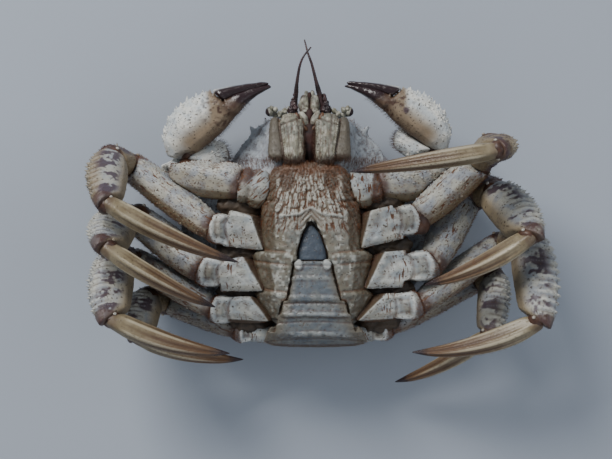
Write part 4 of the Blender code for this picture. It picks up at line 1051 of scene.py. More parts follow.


# Colours by mask, the shares of pits and cracks, roughness and relief; BASIC holds where a shell says nothing
# The rust colour, here and in the shells below, also paints shade on faces turned down, in grooves and at the
# claws' inner edges.
BASIC = {"Stain and shade": (0.048, 0.025, 0.042), "Rust": (0.064, 0.027, 0.019), "Tip": (0.026, 0.014, 0.016)}
SHELL_KINDS = {
    "limb_shell": {"Pale": (0.36, 0.355, 0.315), "Cool": (0.255, 0.275, 0.30), "Warm": (0.180, 0.130, 0.065),
                   "Worn": (0.48, 0.48, 0.44), "Crack share": 0.1, "Pit share": 0.9},
    "claw_shell": {"Pale": (0.62, 0.62, 0.58), "Cool": (0.48, 0.515, 0.53), "Warm": (0.18, 0.118, 0.058),
                   "Rust": (0.060, 0.028, 0.016), "Crack share": 0.05, "Pit share": 0.9},
    # hip_shell: its stain colour is painted shade on the hips' flanks.
    "hip_shell": {"Pale": (0.36, 0.37, 0.345), "Cool": (0.28, 0.315, 0.335), "Warm": (0.135, 0.108, 0.066),
                  "Worn": (0.55, 0.565, 0.55), "Stain and shade": (0.060, 0.036, 0.018), "Crack share": 0.05,
                  "Pit share": 1.0},
    # breast_shell: its stain colour is the dark hairy front and painted shade in the hollows and on the side
    # banks; its rust colour also paints shade beside the tail flap.
    "breast_shell": {"Pale": (0.185, 0.175, 0.145), "Cool": (0.135, 0.140, 0.128),
                     "Warm": (0.118, 0.098, 0.060), "Worn": (0.46, 0.47, 0.43),
                     "Stain and shade": (0.034, 0.021, 0.014), "Rust": (0.120, 0.048, 0.018), "Crack share": 0.05,
                     "Pit share": 0.9},
    "flap_shell": {"Pale": (0.135, 0.145, 0.145), "Cool": (0.095, 0.115, 0.135),
                   "Warm": (0.115, 0.095, 0.062), "Worn": (0.42, 0.435, 0.425), "Crack share": 0.05,
                   "Pit share": 0.8, "Rough": 0.42},
    "flap_tip_shell": {"Pale": (0.062, 0.080, 0.105), "Cool": (0.046, 0.060, 0.082), "Warm": (0.3, 0.3, 0.28),
                       "Stain and shade": (0.04, 0.05, 0.07), "Crack share": 0.05, "Pit share": 0.6, "Rough": 0.40},
    "jaw_shell": {"Pale": (0.200, 0.188, 0.140), "Cool": (0.150, 0.152, 0.125), "Warm": (0.080, 0.066, 0.050),
                  "Worn": (0.42, 0.41, 0.345), "Crack share": 0.05, "Pit share": 0.8},
    "back_shell": {"Pale": (0.42, 0.455, 0.49), "Cool": (0.32, 0.355, 0.395), "Warm": (0.22, 0.125, 0.060),
                   "Stain and shade": (0.13, 0.075, 0.085), "Crack share": 0.15, "Pit share": 0.5, "Rough": 0.6},
    "horn": {"Pale": (0.235, 0.195, 0.125), "Cool": (0.175, 0.138, 0.080), "Warm": (0.120, 0.066, 0.032),
             "Stain and shade": (0.070, 0.036, 0.018), "Worn": (0.46, 0.41, 0.30), "Crack share": 0.0, "Pit share": 0.5,
             "Rough": 0.38, "Relief": 0.3},
}
SLOT_OF = {"limb_shell": "limb", "claw_shell": "limb", "hip_shell": "limb", "breast_shell": "shell_belly",
           "flap_shell": "tail_flap", "flap_tip_shell": "tail_flap", "jaw_shell": "jaw",
           "back_shell": "shell_back", "horn": "horn"}
for name, colours in SHELL_KINDS.items():
    tree, shader = new_finish(name)
    look = add(tree, "ShaderNodeGroup", {**BASIC, **colours}, node_tree=paint_group)
    for title, output in (("Base Color", "Colour"), ("Roughness", "Roughness"), ("Normal", "Normal")):
        tree.links.new(look[output], shader[title])
    shader["IOR"].default_value = 1.5
# The shell and the bristles of each kind of segment and plate
FINISH_OF = {"coxa": ("hip_shell", "bristle_rusty"), "merus": ("limb_shell", "bristle_rusty"),
             "carpus": ("limb_shell", "bristle_rusty"), "propodus": ("limb_shell", "bristle_pale"),
             "dactyl": ("horn", "bristle_dark"), "palm": ("claw_shell", "bristle_dark"),
             "finger": ("claw_shell", "bristle_dark"), "claw_coxa": ("hip_shell", "bristle_rusty"),
             "claw_merus": ("limb_shell", "bristle_rusty"), "claw_carpus": ("claw_shell", "bristle_dark"),
             "sternum": ("breast_shell", "bristle_rusty"), "abdomen": ("flap_shell", "bristle_pale"),
             "telson": ("flap_tip_shell", "bristle_pale"), "carapace": ("back_shell", "bristle_rusty"),
             "foot_jaw": ("jaw_shell", "bristle_dark")}


def finishes_of(node):
    """The names of a node's shell material and bristle material."""
    return FINISH_OF[limb[node].kind if node in limb else node.replace("left_", "").replace("right_", "")]


def hand_over(piece, material, slot, node=None):
    """Gives a piece its material, lets it ride on the body, and take its CAD node's place. The slot is not
    used.
    """
    piece.data.materials.append(finish[material])
    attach(piece, "root")
    if node:
        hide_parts(node)


for node, skin in skins.items():
    shell = finishes_of(node)[0]
    hand_over(skin, shell, SLOT_OF[shell], node)
print("materials", len(finish))

# %% [markdown]
# ## Spines, teeth and granules
# The shell of this crab is armed all over: saw teeth on the legs' outer edges, conical spines on the claws
# and fine granules between. A thorn, a bead, a coarser bead for the finest grains and a bristle are modelled
# once each. They are then planted by the hundred, upright on the skin, each with its own size, and joined
# into one mesh a plate.

# %% Model the thorn, the beads and the bristle
def tapered(sides, steps):
    """A pointed shape of unit height, extruded ring by ring from a circle. steps are (height, radius)."""
    bpy.ops.object.select_all(action="DESELECT")
    bpy.ops.mesh.primitive_circle_add(vertices=sides, radius=1.0, fill_type="NOTHING")
    bpy.ops.object.mode_set(mode="EDIT")
    bpy.ops.mesh.select_all(action="SELECT")
    below, wide = 0.0, 1.0
    for height, radius in steps:
        bpy.ops.mesh.extrude_region_move(TRANSFORM_OT_translate={"value": (0, 0, height - below)})
        share = max(radius, 1e-3) / wide
        bpy.ops.transform.resize(value=(share, share, 1), center_override=(0, 0, height))
        below, wide = height, max(radius, 1e-3)
    bpy.ops.mesh.merge(type="CENTER")
    bpy.ops.object.mode_set(mode="OBJECT")
    return taken(bpy.context.object)


def taken(piece):
    """Reads a modelled shape's corners and triangles, and removes it from the scene."""
    shape = points_of(piece), triangles_of(piece)
    bpy.data.objects.remove(piece)
    return shape


def rounded(detail):
    """The upper half of a sphere, with a short skirt below it."""
    bpy.ops.object.select_all(action="DESELECT")
    bpy.ops.mesh.primitive_ico_sphere_add(subdivisions=detail, radius=1.0)
    bpy.ops.object.mode_set(mode="EDIT")
    bpy.ops.mesh.select_all(action="SELECT")
    bpy.ops.mesh.bisect(plane_co=(0, 0, -0.25), plane_no=(0, 0, 1), clear_inner=True)
    bpy.ops.object.mode_set(mode="OBJECT")
    return taken(bpy.context.object)


THORN = tapered(6, [(0.30, 0.66), (0.65, 0.34), (1.0, 0.0)])
BEAD = rounded(2)
GRAIN = rounded(1)
BRISTLE = tapered(3, [(0.55, 0.75), (1.0, 0.0)])
for name, shape in (("thorn", THORN), ("bead", BEAD), ("grain", GRAIN), ("bristle", BRISTLE)):
    print(name, "triangles", len(shape[1]))


# %% Search trees and masks of the skins
RAY_START, RAY_REACH = 14, 16
MASKS = ["warm", "stain_and_shade", "rust", "worn"]
skin_trees, skin_masks, skin_triangles = {}, {}, {}
for node, skin in skins.items():
    skin_triangles[node] = triangles_of(skin)
    skin_trees[node] = BVHTree.FromPolygons(points_of(skin).tolist(), skin_triangles[node].tolist())
    skin_masks[node] = {name: masks_of(skin, name) for name in MASKS}


def spots_hit(node, rays, reach):
    """Where rays, given as (start, way), meet a skin within a reach: places, normals and triangles."""
    found = []
    for start, way in rays:
        hit, normal, index, gap = skin_trees[node].ray_cast(Vector(start), Vector(way), reach)
        if hit is not None:
            found.append((np.array(hit), np.array(normal), index))
    return map(np.array, zip(*found))


def ring_rays(place, spots):
    """Rays at a limb segment from outside, given as (share along, degrees round from the outer edge)."""
    for share, degrees in spots:
        way = place.outer * math.cos(math.radians(degrees)) + place.side * math.sin(math.radians(degrees))
        yield place.start + (place.end - place.start) * share + way * RAY_START * MM, -way


def sow(node, spacing, wanted, draw, taken_spots=()):
    """Random places over a skin, a spacing in mm apart, kept with the chance that wanted gives a corner.

    Gives the places, the normals and the triangles there."""
    spacing = spacing * MM
    points, normals = surface_of(skins[node])
    triangles = skin_triangles[node]
    a, b, c = (points[triangles[:, k]] for k in range(3))
    area = np.linalg.norm(np.cross(b - a, c - a), axis=1) / 2 * wanted[triangles].mean(1)
    if area.sum() <= 0:
        return np.empty((0, 3)), np.empty((0, 3)), np.empty(0, int)
    count = int(area.sum() / spacing ** 2 * 2.2)
    index = draw.choice(len(triangles), count, p=area / area.sum())
    share = draw.dirichlet((1, 1, 1), count)[:, :, None]
    spots = (points[triangles[index]] * share).sum(1)
    ups = (normals[triangles[index]] * share).sum(1)
    held, kept = {}, []
    for spot in taken_spots:
        held.setdefault(tuple((spot // spacing).astype(int)), []).append(spot)
    for row, (spot, (i, j, k)) in enumerate(zip(spots, (spots // spacing).astype(int))):
        beside = [other for step in np.ndindex(3, 3, 3) for other in
                  held.get((i + step[0] - 1, j + step[1] - 1, k + step[2] - 1), ())]
        x, y, z = spot
        if all((x - a) ** 2 + (y - b) ** 2 + (z - c) ** 2 > spacing ** 2 for a, b, c in beside):
            held.setdefault((i, j, k), []).append(spot)
            kept.append(row)
    return spots[kept], ups[kept], index[kept]


class Bed:
    """Collects what is planted on one skin and joins it into one mesh."""

    def __init__(self, node):
        self.node, self.parts = node, []

    def plant(self, shape, roots, ups, forward, height, long_half, cross_half, bend, dark, index=None):
        """Adds a shape at each root. forward is the way it leans, bend how far as a share of its height."""
        corners, faces = shape
        count = len(roots)
        if not count:
            return
        roots, ups = np.asarray(roots, float), np.asarray(ups, float)
        ups /= np.linalg.norm(ups, axis=1)[:, None]
        forward = np.broadcast_to(np.asarray(forward, float), roots.shape)
        forward = forward - ups * (forward * ups).sum(1)[:, None]
        length = np.linalg.norm(forward, axis=1)[:, None]
        spare = np.cross(ups, np.where(np.abs(ups[:, :1]) < 0.9, [1.0, 0, 0], [0, 1.0, 0]))
        forward = np.where(length > 0.05, forward / most(length, 1e-9), spare)
        forward /= np.linalg.norm(forward, axis=1)[:, None]
        side = np.cross(ups, forward)
        height, long_half, cross_half, bend, dark = (
            np.broadcast_to(np.asarray(value, float), count)[:, None] for value in
            (height, long_half, cross_half, bend, dark))
        x, y, z = corners.T[:, None, :]
        spots = (roots[:, None] + ups[:, None] * (z * height)[..., None]
                 + forward[:, None] * (x * long_half + bend * height * z * np.abs(z))[..., None]
                 + side[:, None] * (y * cross_half)[..., None])
        masks = {"tip": dark * rise(np.broadcast_to(z, (count, len(corners))), 0.25, 0.9)}
        tree = skin_trees[self.node]
        index = [tree.find_nearest(Vector(root))[2] for root in roots] if index is None else index
        for mask in MASKS:
            value = skin_masks[self.node][mask][skin_triangles[self.node][index]].mean(1)
            masks[mask] = np.broadcast_to(value[:, None] * 0.85, (count, len(corners)))
        self.parts.append((spots.reshape(-1, 3), faces, count, masks, roots))

    def grown(self, name, material, slot):
        """Makes the mesh. Each plant has its own patch on the OFBake map, at its root's place on the skin."""
        spots = np.concatenate([part[0] for part in self.parts])
        rows, first = [], 0
        for corners, faces, count, masks, roots in self.parts:
            step = len(corners) // count
            rows.append((faces[None] + (first + np.arange(count) * step)[:, None, None]).reshape(-1, 3))
            first += len(corners)
        rows = np.concatenate(rows).astype(np.int32)
        mesh = bpy.data.meshes.new(name)
        mesh.vertices.add(len(spots))
        mesh.vertices.foreach_set("co", spots.ravel())
        mesh.loops.add(rows.size)
        mesh.loops.foreach_set("vertex_index", rows.ravel())
        mesh.polygons.add(len(rows))
        mesh.polygons.foreach_set("loop_start", np.arange(0, rows.size, 3, dtype=np.int32))
        mesh.update(calc_edges=True)
        piece = bpy.data.objects.new(name, mesh)
        bpy.context.scene.collection.objects.link(piece)
        mesh.shade_smooth()
        for mask in ["tip"] + MASKS:
            paint(piece, mask, np.concatenate([part[3][mask].ravel() for part in self.parts]))
        unwrap(piece, spots, rows, self)
        hand_over(piece, material, slot)
        return len(rows)


def grow_all(beds, ending, column):
    """Joins what stands on each skin into one mesh, and lifts what would pass through the floor onto it."""
    triangles = 0
    for node, bed in beds.items():
        if bed.parts:
            for spots, *others in bed.parts:
                spots[:, 2] = most(spots[:, 2], 0)
            shells = finishes_of(node)
            triangles += bed.grown(node + ending, shells[column], SLOT_OF[shells[0]])
    print(ending, "triangles", triangles)


def unwrap(piece, spots, rows, bed):
    """Rolls the skin's roots round the plate's own long axis, and gives each plant a small patch there."""
    roots = np.concatenate([np.repeat(part[4], len(part[0]) // part[2], axis=0) for part in bed.parts])
    points = points_of(skins[bed.node])
    middle = points.mean(0)
    values, axes = np.linalg.eigh(np.cov((points - middle).T))
    turned, own = (roots - middle) @ axes, (spots - roots) @ axes
    half = np.abs((points - middle) @ axes).max(0)
    u = 0.03 + 0.94 * (np.arctan2(turned[:, 1], turned[:, 0]) / math.tau + 0.5)
    v = 0.03 + 0.94 * (turned[:, 2] / half[2] / 2 + 0.5)
    size = 0.0015 / max(np.abs(own).max(), 1e-9)
    places = np.stack([u + own[:, 0] * size, v + own[:, 1] * size + own[:, 2] * size * 0.3], axis=1)
    layer = piece.data.uv_layers.new(name="OFBake")
    layer.data.foreach_set("uv", np.clip(places, 0, 1)[rows.ravel()].astype(np.float32).ravel())


# %% Plant the spines and granules of each limb
TOOTH_STEP = 9
# Where they stand, from low to high on the way to the outer edge, then spacing, height and half width in mm
CLAW_THORNS = [(0.50, 0.65, 1.75, 1.10, 0.58), (-0.25, 0.15, 1.30, 0.55, 0.50)]
beds = {}
for number, (node, place) in enumerate(limb.items()):
    kind, skin, axis = place.kind, skins[node], place.axis
    draw = np.random.default_rng(100 + number)
    bed = beds[node] = Bed(node)
    points, normals = surface_of(skin)
    along, out, across = limb_frame(place, points)
    dark = {"merus": 0.9, "carpus": 0.85, "claw_merus": 0.25}.get(kind, 0.0)
    if coarse_spines[node] and kind not in ("propodus", "finger"):
        roots, tips, radii = map(np.array, zip(*coarse_spines[node]))
        height = np.linalg.norm(tips - roots, axis=1)
        wide = np.minimum(radii * 0.85, height * 0.75)
        bed.plant(THORN, roots, tips - roots, axis, height * 1.02, wide, wide, 0.08,
                  dark * (draw.random(len(roots)) > 0.3))
    planted = [row[0] for row in coarse_spines[node]]
    if kind == "propodus":
        spread = 36 if "leg_1" in node else 72
        for ridge in range(RIDGES):
            share = RIDGE_FIRST + (RIDGE_LAST - RIDGE_FIRST) * ridge / (RIDGES - 1)
            swell = 0.75 + 0.25 * math.sin(math.pi * ridge / (RIDGES - 1))
            spots = [(share - RIDGE_LEAN * (1 - math.cos(math.radians(turn))), turn + draw.normal(0, 1.2))
                     for turn in range(-spread, spread + 1, TOOTH_STEP)]
            roots, ups, index = spots_hit(node, ring_rays(place, spots), RAY_REACH * MM)
            outness = limb_frame(place, roots)[1]
            size = (0.30 + 0.55 * rise(outness, 0.2, 1.0)) * swell * draw.uniform(0.8, 1.1, len(roots))
            main = rise(outness, 0.90, 0.99)
            lean = place.outer * 0.8 + ups
            bed.plant(THORN, roots - ups * 0.12 * MM, lean, axis, size * MM + main * 0.35 * MM,
                      (0.34 + 0.22 * main) * MM, (0.38 + 0.22 * main) * MM, 0.18, 0.0, index)
    elif kind in ("palm", "finger"):
        share = 1.0 if node.startswith("right") else 0.88
        last = 0.50 if kind == "finger" else 0.60
        for low, high, spacing, height, half in CLAW_THORNS:
            wanted = rise(out, low, high) * fall(along, last, last + 0.04) * rise(along, -0.05, 0.0)
            roots, ups, index = sow(node, spacing * share, wanted, draw, planted)
            planted += list(roots)
            size = height * share * draw.uniform(0.75, 1.15, len(roots)) * MM
            wide = half * share * MM
            lean = ups + axis * 0.4 + place.outer * 0.5
            bed.plant(THORN, roots - ups * 0.12 * MM, lean, axis, size, wide, wide, 0.15, 0.0, index)
    elif kind.endswith(("merus", "carpus")):
        claw_part = kind.startswith("claw")
        wanted = 0.25 + 0.75 * bump(np.abs(across), 0.55, 0.35)
        if kind == "claw_merus":
            wanted = rise(out + 0.3 * along, 0.0, 0.4)
        elif claw_part:
            wanted = np.full(len(points), 0.05)
        roots, ups, index = sow(node, 1.0 if claw_part else 1.15, wanted, draw, planted)
        size = draw.uniform(0.16, 0.42, len(roots)) * (1.3 if claw_part else 1.0)
        bed.plant(BEAD if claw_part else GRAIN, roots - ups * 0.05 * MM, ups, axis, size * 0.9 * MM,
                  size * 1.05 * MM, size * 0.8 * MM, 0.3, 0.0, index)
    elif kind.endswith("coxa"):
        wanted = rise(normals[:, 2], -0.3, 0.2) * (noise(points, 3 * MM, number) > 0.45)
        roots, ups, index = sow(node, 1.3, wanted, draw)
        size = draw.uniform(0.12, 0.26, len(roots)) * MM
        bed.plant(GRAIN, roots, ups, axis, size * 0.8, size * 1.3, size, 0.0, 0.0, index)

# %% Plant the beads on the foot jaws' ridges
JAW_TOP = 50
FROM_ABOVE = (0, 0, -1)


def bead_rays(line, step, draw):
    """Rays from above at a line of (x, y) places in mm, a step apart."""
    length = np.concatenate([[0], np.cumsum(np.hypot(*np.diff(line, axis=0).T))])
    for far in np.arange(0, length[-1], step):
        x, y = (np.interp(far + draw.normal(0, step * 0.15), length, line[:, k]) for k in range(2))
        yield (x * MM, y * MM, JAW_TOP * MM), FROM_ABOVE


for number, side in enumerate((1, -1)):
    node = ("left" if side > 0 else "right") + "_foot_jaw"
    draw = np.random.default_rng(150 + number)
    beds[node] = Bed(node)
    y = np.linspace(20.4, 31.5, 12)
    inner, edge, plate_edge = jaw_lines(y)
    for share, size in ((0.08, 0.30), (0.28, 0.24), (0.76, 0.26), (0.90, 0.36)):
        line = np.stack([side * (inner + share * (plate_edge - inner)), y], axis=1)
        found = list(spots_hit(node, bead_rays(line, 2.1 * size, draw), JAW_TOP * MM))
        roots, ups, index = (row[found[1][:, 2] > 0.2] for row in found)
        wide = size * draw.uniform(0.7, 1.1, len(roots)) * MM
        beds[node].plant(BEAD, roots - ups * 0.08 * MM, ups, AHEAD, wide, wide * 1.15, wide, 0.0, 0.0, index)

# %% Plant the granules of the body, and join what is planted
BODY_BEDS = {"carapace": (1.45, 0.15, 0.42), "sternum": (0.85, 0.10, 0.24), "abdomen": (0.80, 0.08, 0.20),
             "left_foot_jaw": (0.75, 0.10, 0.24), "right_foot_jaw": (0.75, 0.10, 0.24)}
for number, (node, (spacing, small, large)) in enumerate(BODY_BEDS.items()):
    draw = np.random.default_rng(200 + number)
    points, normals = surface_of(skins[node])
    wanted = 0.35 + rise(noise(points, 5 * MM, 21 + number), 0.35, 0.65)
    if node != "carapace":
        wanted *= rise(normals[:, 2], -0.2, 0.3)
    roots, ups, index = sow(node, spacing, wanted, draw)
    size = draw.uniform(small, large, len(roots)) * MM
    beds.setdefault(node, Bed(node)).plant(GRAIN, roots - ups * size[:, None] * 0.1, ups, AHEAD, size * 0.9,
                                           size, size, 0.0, 0.0, index)
grow_all(beds, "_spines", 0)

# %% [markdown]
# ## Bristles
# This species is hairy: stiff rusty bristles stand in rows between the shell's ridges, fringe each plate
# and line the grooves of the horny claws. Each bristle is a thin tapered solid that leans the way the real
# ones lie, towards the mouth on the breast and towards the tip on a limb. They grow in small tufts, one
# mesh a plate, with a root colour and a tip colour.

# %% Bristle materials
# Root colour and tip colour
BRISTLE_KINDS = {"bristle_rusty": ((0.25, 0.088, 0.026), (0.105, 0.042, 0.020)),
                 "bristle_dark": ((0.085, 0.045, 0.030), (0.16, 0.09, 0.05)),
                 "bristle_pale": ((0.20, 0.135, 0.08), (0.30, 0.23, 0.15))}
for name, (root_colour, tip_colour) in BRISTLE_KINDS.items():
    tree, shader = new_finish(name)
    mark = add(tree, "ShaderNodeGroup", node_tree=marks)
    colour = mix(tree, attribute(tree, "tip"), root_colour, tip_colour)
    colour = mix(tree, ramp(tree, mark["Grain"], 0.3, 0.7), colour, (0.6, 0.55, 0.5), "MULTIPLY")
    tree.links.new(colour, shader["Base Color"])
    shader["Roughness"].default_value = 0.45
print("bristle materials", len(BRISTLE_KINDS))


# %% Sow bristles
def bristles(node, spacing, wanted, lie, length, radius, hairs, draw, lift=0.5):
    """Tufts of bristles on one skin, sizes in mm. lie is the way they lean, lift how steeply they rise."""
    roots, ups, index = (np.repeat(row, hairs, axis=0) for row in sow(node, spacing, wanted, draw))
    count = len(roots)
    way = (lie(roots) if callable(lie) else np.asarray(lie)) + ups * lift + draw.normal(0, 0.22, roots.shape)
    roots = roots - ups * 0.06 * MM + draw.normal(0, 0.07 * MM, roots.shape)
    hair_beds.setdefault(node, Bed(node)).plant(
        BRISTLE, roots, way, -ups, length * MM * draw.uniform(0.55, 1.15, count), radius * MM, radius * MM,
        draw.uniform(0.0, 0.25, count), 1.0, index)


hair_beds = {}
for number, (node, place) in enumerate(limb.items()):
    kind, skin, axis = place.kind, skins[node], place.axis
    draw = np.random.default_rng(300 + number)
    points, normals = surface_of(skin)
    along, out, across = limb_frame(place, points)
    rim = rise(along, 0.88, 0.95) * fall(along, 0.985, 1.0)
    if kind == "dactyl":
        lined = rise(masks_of(skin, "stain_and_shade"), 0.45, 0.9)
        lined = lined * rise(along, 0.08, 0.2) * fall(along, 0.80, 0.9)
        bristles(node, 0.36, lined, axis, 0.55, 0.030, 1, draw, 0.7)
        edges = bump(np.abs(out), 1.0, 0.25) * rise(along, 0.05, 0.15) * fall(along, 0.7, 0.8)
        bristles(node, 0.6, edges * 0.8, axis * 0.8, 0.8, 0.028, 2, draw, 0.9)
    elif kind == "propodus":
        comb = off_ridge(along, out)
        wanted = rise(comb, 0.25, 0.45) * 0.6 * rise(out, -0.6, 0.1) + 0.12
        bristles(node, 0.85, wanted, axis, 0.8, 0.034, 2, draw, 0.7)
        bristles(node, 0.55, rim, axis, 1.0, 0.034, 2, draw, 0.5)
    elif kind in ("merus", "carpus"):
        wanted = 0.10 + 0.8 * bump(np.abs(across), 0.6, 0.3) * rise(normals[:, 2], -0.5, 0.2)
        bristles(node, 0.9, wanted, axis, 1.0, 0.036, 3, draw, 0.6)
        bristles(node, 0.55, rim, axis, 1.1, 0.034, 2, draw, 0.5)
        rear = rise(-normals[:, 1], 0.1, 0.6) * rise(along, 0.05, 0.15) * fall(along, 0.9, 1.0)
        bristles(node, 0.70, 0.8 * rear, axis + [0, -0.3, 0], 1.3, 0.034, 2, draw, 0.3)
    elif kind in ("coxa", "claw_coxa"):
        wanted = patches(points, 1.6, number, 0.52, 0.62) * rise(normals[:, 2], -0.5, 0.0)
        bristles(node, 0.55, wanted, axis, 0.9, 0.038, 2, draw, 0.35)
        bristles(node, 0.50, rise(along, 0.86, 0.93), axis, 1.2, 0.036, 2, draw, 0.4)
    elif kind == "claw_merus":
        wanted = 0.15 + 0.8 * patches(points, 2.0, number, 0.5, 0.6) * rise(normals[:, 1], -0.2, 0.4)
        bristles(node, 0.75, wanted, axis, 1.1, 0.038, 3, draw, 0.6)
    elif kind == "claw_carpus":
        inward = np.array([-np.sign(place.start[0]), 0.3, 0])
        bristles(node, 0.6, rise(normals @ unit(inward), 0.3, 0.7), inward, 1.8, 0.040, 2, draw, 0.8)
    elif kind == "palm":
        inner = rise(-out, 0.55, 0.9) * rise(along, 0.25, 0.45) * fall(along, 0.72, 0.8)
        bristles(node, 0.6, inner, -place.outer + axis * 0.6, 1.5, 0.036, 2, draw, 0.5)
        wanted = 0.35 * rise(out, -0.5, 0.2) * fall(along, 0.6, 0.66)
        bristles(node, 0.9, wanted, axis, 0.7, 0.032, 1, draw, 0.6)

# %% Bristles of the body
def parted(sideways, ahead, up):
    """A lean away from the midline, or towards it where sideways is negative."""
    return lambda roots: np.sign(roots[:, :1]) * [[sideways, 0, 0]] + [[0, ahead, up]]


def outward(roots):
    """A lean away from the middle of the back."""
    return roots * [[1.0, 1.0, 0]] / np.linalg.norm(roots[:, :2], axis=1)[:, None]


def plate_surface(node):
    """A plate's normals and its places in mm."""
    points, normals = surface_of(skins[node])
    return normals, *points.T / MM


BODY_HAIR_SEED = 400
draw = np.random.default_rng(BODY_HAIR_SEED)
normals, x, y, z = plate_surface("sternum")
x = x - middle_at(y)
front = most(rise(y - 2.8, -0.3, 1.0), 0.3 * rise(y, -4.5, 0.0) * rise(np.abs(x), 3.0, 4.5))
lines = fall(breast_scales(points_of(skins["sternum"])), 0.10, 0.32)
lines = front * lines * rise(normals[:, 2], -0.4, 0.1)
bristles("sternum", 0.36, lines, AHEAD, 1.2, 0.036, 2, draw, 0.22)
edge = rise(np.abs(normals[:, 0]), 0.5, 0.8) * rise(np.abs(x), 8, 10)
bristles("sternum", 0.55, 0.35 * edge, parted(0.5, 0, 0.6), 0.8, 0.034, 2, draw, 0.4)
normals, x, y, z = plate_surface("abdomen")
side = rise(np.hypot(normals[:, 0], normals[:, 1]), 0.55, 0.85) * rise(normals[:, 2], -0.3, 0.1)
bristles("abdomen", 0.42, side, parted(0.8, -0.2, 0.2), 0.7, 0.028, 2, draw, 0.5)
for name in ("left_foot_jaw", "right_foot_jaw"):
    normals, x, y, z = plate_surface(name)
    rear = fall(y, 19.4, 22.0)
    bristles(name, 0.42, rear, (0, -0.9, 0.25), 1.9, 0.042, 4, draw, 0.4)
    x = np.abs(x)
    inner = fall(x, 2.7, 3.4) + 0.35 * bump(x, 8.8, 0.6) + 0.25 * bump(x, 4.0, 0.4)
    bristles(name, 0.42, np.clip(inner, 0, 1), parted(-0.7, 0.5, 0.3), 1.1, 0.036, 2, draw, 0.4)
normals, x, y, z = plate_surface("carapace")
belly = rise(normals[:, 2], -0.1, 0.4)
fringe = bump(y, 18.6, 1.9) * belly * rise(np.abs(x), 9, 12) * fall(np.abs(x), 30, 34)
bristles("carapace", 0.50, fringe, AHEAD, 1.8, 0.036, 3, draw, 0.4)
under = belly * fall(y, 15, 18)
bristles("carapace", 0.95, under * 0.8, outward, 1.1, 0.036, 2, draw, 0.5)
margin = bump(z, 12.5, 4.0) * rise(np.hypot(normals[:, 0], normals[:, 1]), 0.3, 0.7)
bristles("carapace", 0.75, margin, outward, 0.9, 0.036, 2, draw, 0.5)
back = rise(-normals[:, 2], -0.1, 0.4) * rise(z, 0.6, 2.0)
bristles("carapace", 1.35, back, outward, 0.6, 0.040, 1, draw, 0.5)
grow_all(hair_beds, "_bristles", 1)

# %% [markdown]
# ## Joints
# Between two plates of a limb the body shows brown, folded joint skin, and two glossy knobs (condyles) that
# the plates turn on. Each joint gets a squashed, wrinkled ball of skin inside its gap, and a knob on each
# side, all modelled from spheres and joined into one piece a limb.

# %% Plain materials: joint skin, knobs, mouth
# Each material's darker and lighter colour, roughness and slot
PLAIN_KINDS = {"joint_skin": ((0.032, 0.014, 0.011), (0.090, 0.040, 0.022), 0.45, "limb"),
               "hip_skin": ((0.022, 0.014, 0.009), (0.058, 0.038, 0.022), 0.60, "shell_belly"),
               "knob": ((0.22, 0.18, 0.135), (0.46, 0.44, 0.39), 0.12, "limb"),
               "mouth_skin": ((0.010, 0.003, 0.003), (0.042, 0.010, 0.006), 0.75, "jaw"),
               "feeler_shell": ((0.018, 0.010, 0.012), (0.060, 0.030, 0.030), 0.40, "feeler"),
               "palp_shell": ((0.06, 0.024, 0.012), (0.15, 0.068, 0.030), 0.45, "jaw")}
for name, (dark, light, roughness, slot) in PLAIN_KINDS.items():
    tree, shader = new_finish(name)
    mark = add(tree, "ShaderNodeGroup", node_tree=marks)
    colour = mix(tree, ramp(tree, mark["Mottle"], 0.35, 0.65), dark, light)
    relief = add(tree, "ShaderNodeBump", {"Height": mark["Grain"], "Strength": 0.4, "Distance": 0.0002})
    tree.links.new(colour, shader["Base Color"])
    tree.links.new(relief["Normal"], shader["Normal"])
    shader["Roughness"].default_value = roughness
    SLOT_OF[name] = slot
print("plain materials", len(PLAIN_KINDS))


# %% Spheres and joining
def mm(*values):
    """Numbers in mm as an array in m."""
    return np.array(values) * MM


def ball(middle, radii, direction=UP, segments=20, folds=None):
    """A sphere whose last radius lies along the direction. folds are its wrinkles' height, size and seed."""
    turn = Vector(direction).to_track_quat("Z", "Y").to_euler()
    bpy.ops.object.select_all(action="DESELECT")
    bpy.ops.mesh.primitive_uv_sphere_add(segments=segments, ring_count=segments // 2, radius=1.0,
                                         location=tuple(middle), rotation=turn, scale=tuple(radii))
    bpy.ops.object.transform_apply(location=True, rotation=True, scale=True)
    piece = bpy.context.object
    piece.data.shade_smooth()
    if folds:
        height, size, seed = folds
        push_out(piece, height * MM * (noise(points_of(piece), size * MM, seed) - 0.5))
    return piece


def joined(pieces, name, material):
    """Joins pieces into one and gives it its finish."""
    bpy.ops.object.select_all(action="DESELECT")
    for piece in pieces:
        piece.select_set(True)
    bpy.context.view_layer.objects.active = pieces[0]
    bpy.ops.object.join()
    piece = bpy.context.object
    piece.name = name
    piece.data.materials.clear()
    hand_over(piece, material, SLOT_OF[material])
    return piece


def cap_radius(node, joint, toward):
    """How far a node's end face reaches from the joint, across the limb."""
    points = corners(node)
    near = points[np.abs((points - joint) @ toward) < 1.6 * MM]
    reach = np.linalg.norm(near - joint - ((near - joint) @ toward)[:, None] * toward, axis=1)
    return np.percentile(reach, 60) if len(reach) else 2.0 * MM


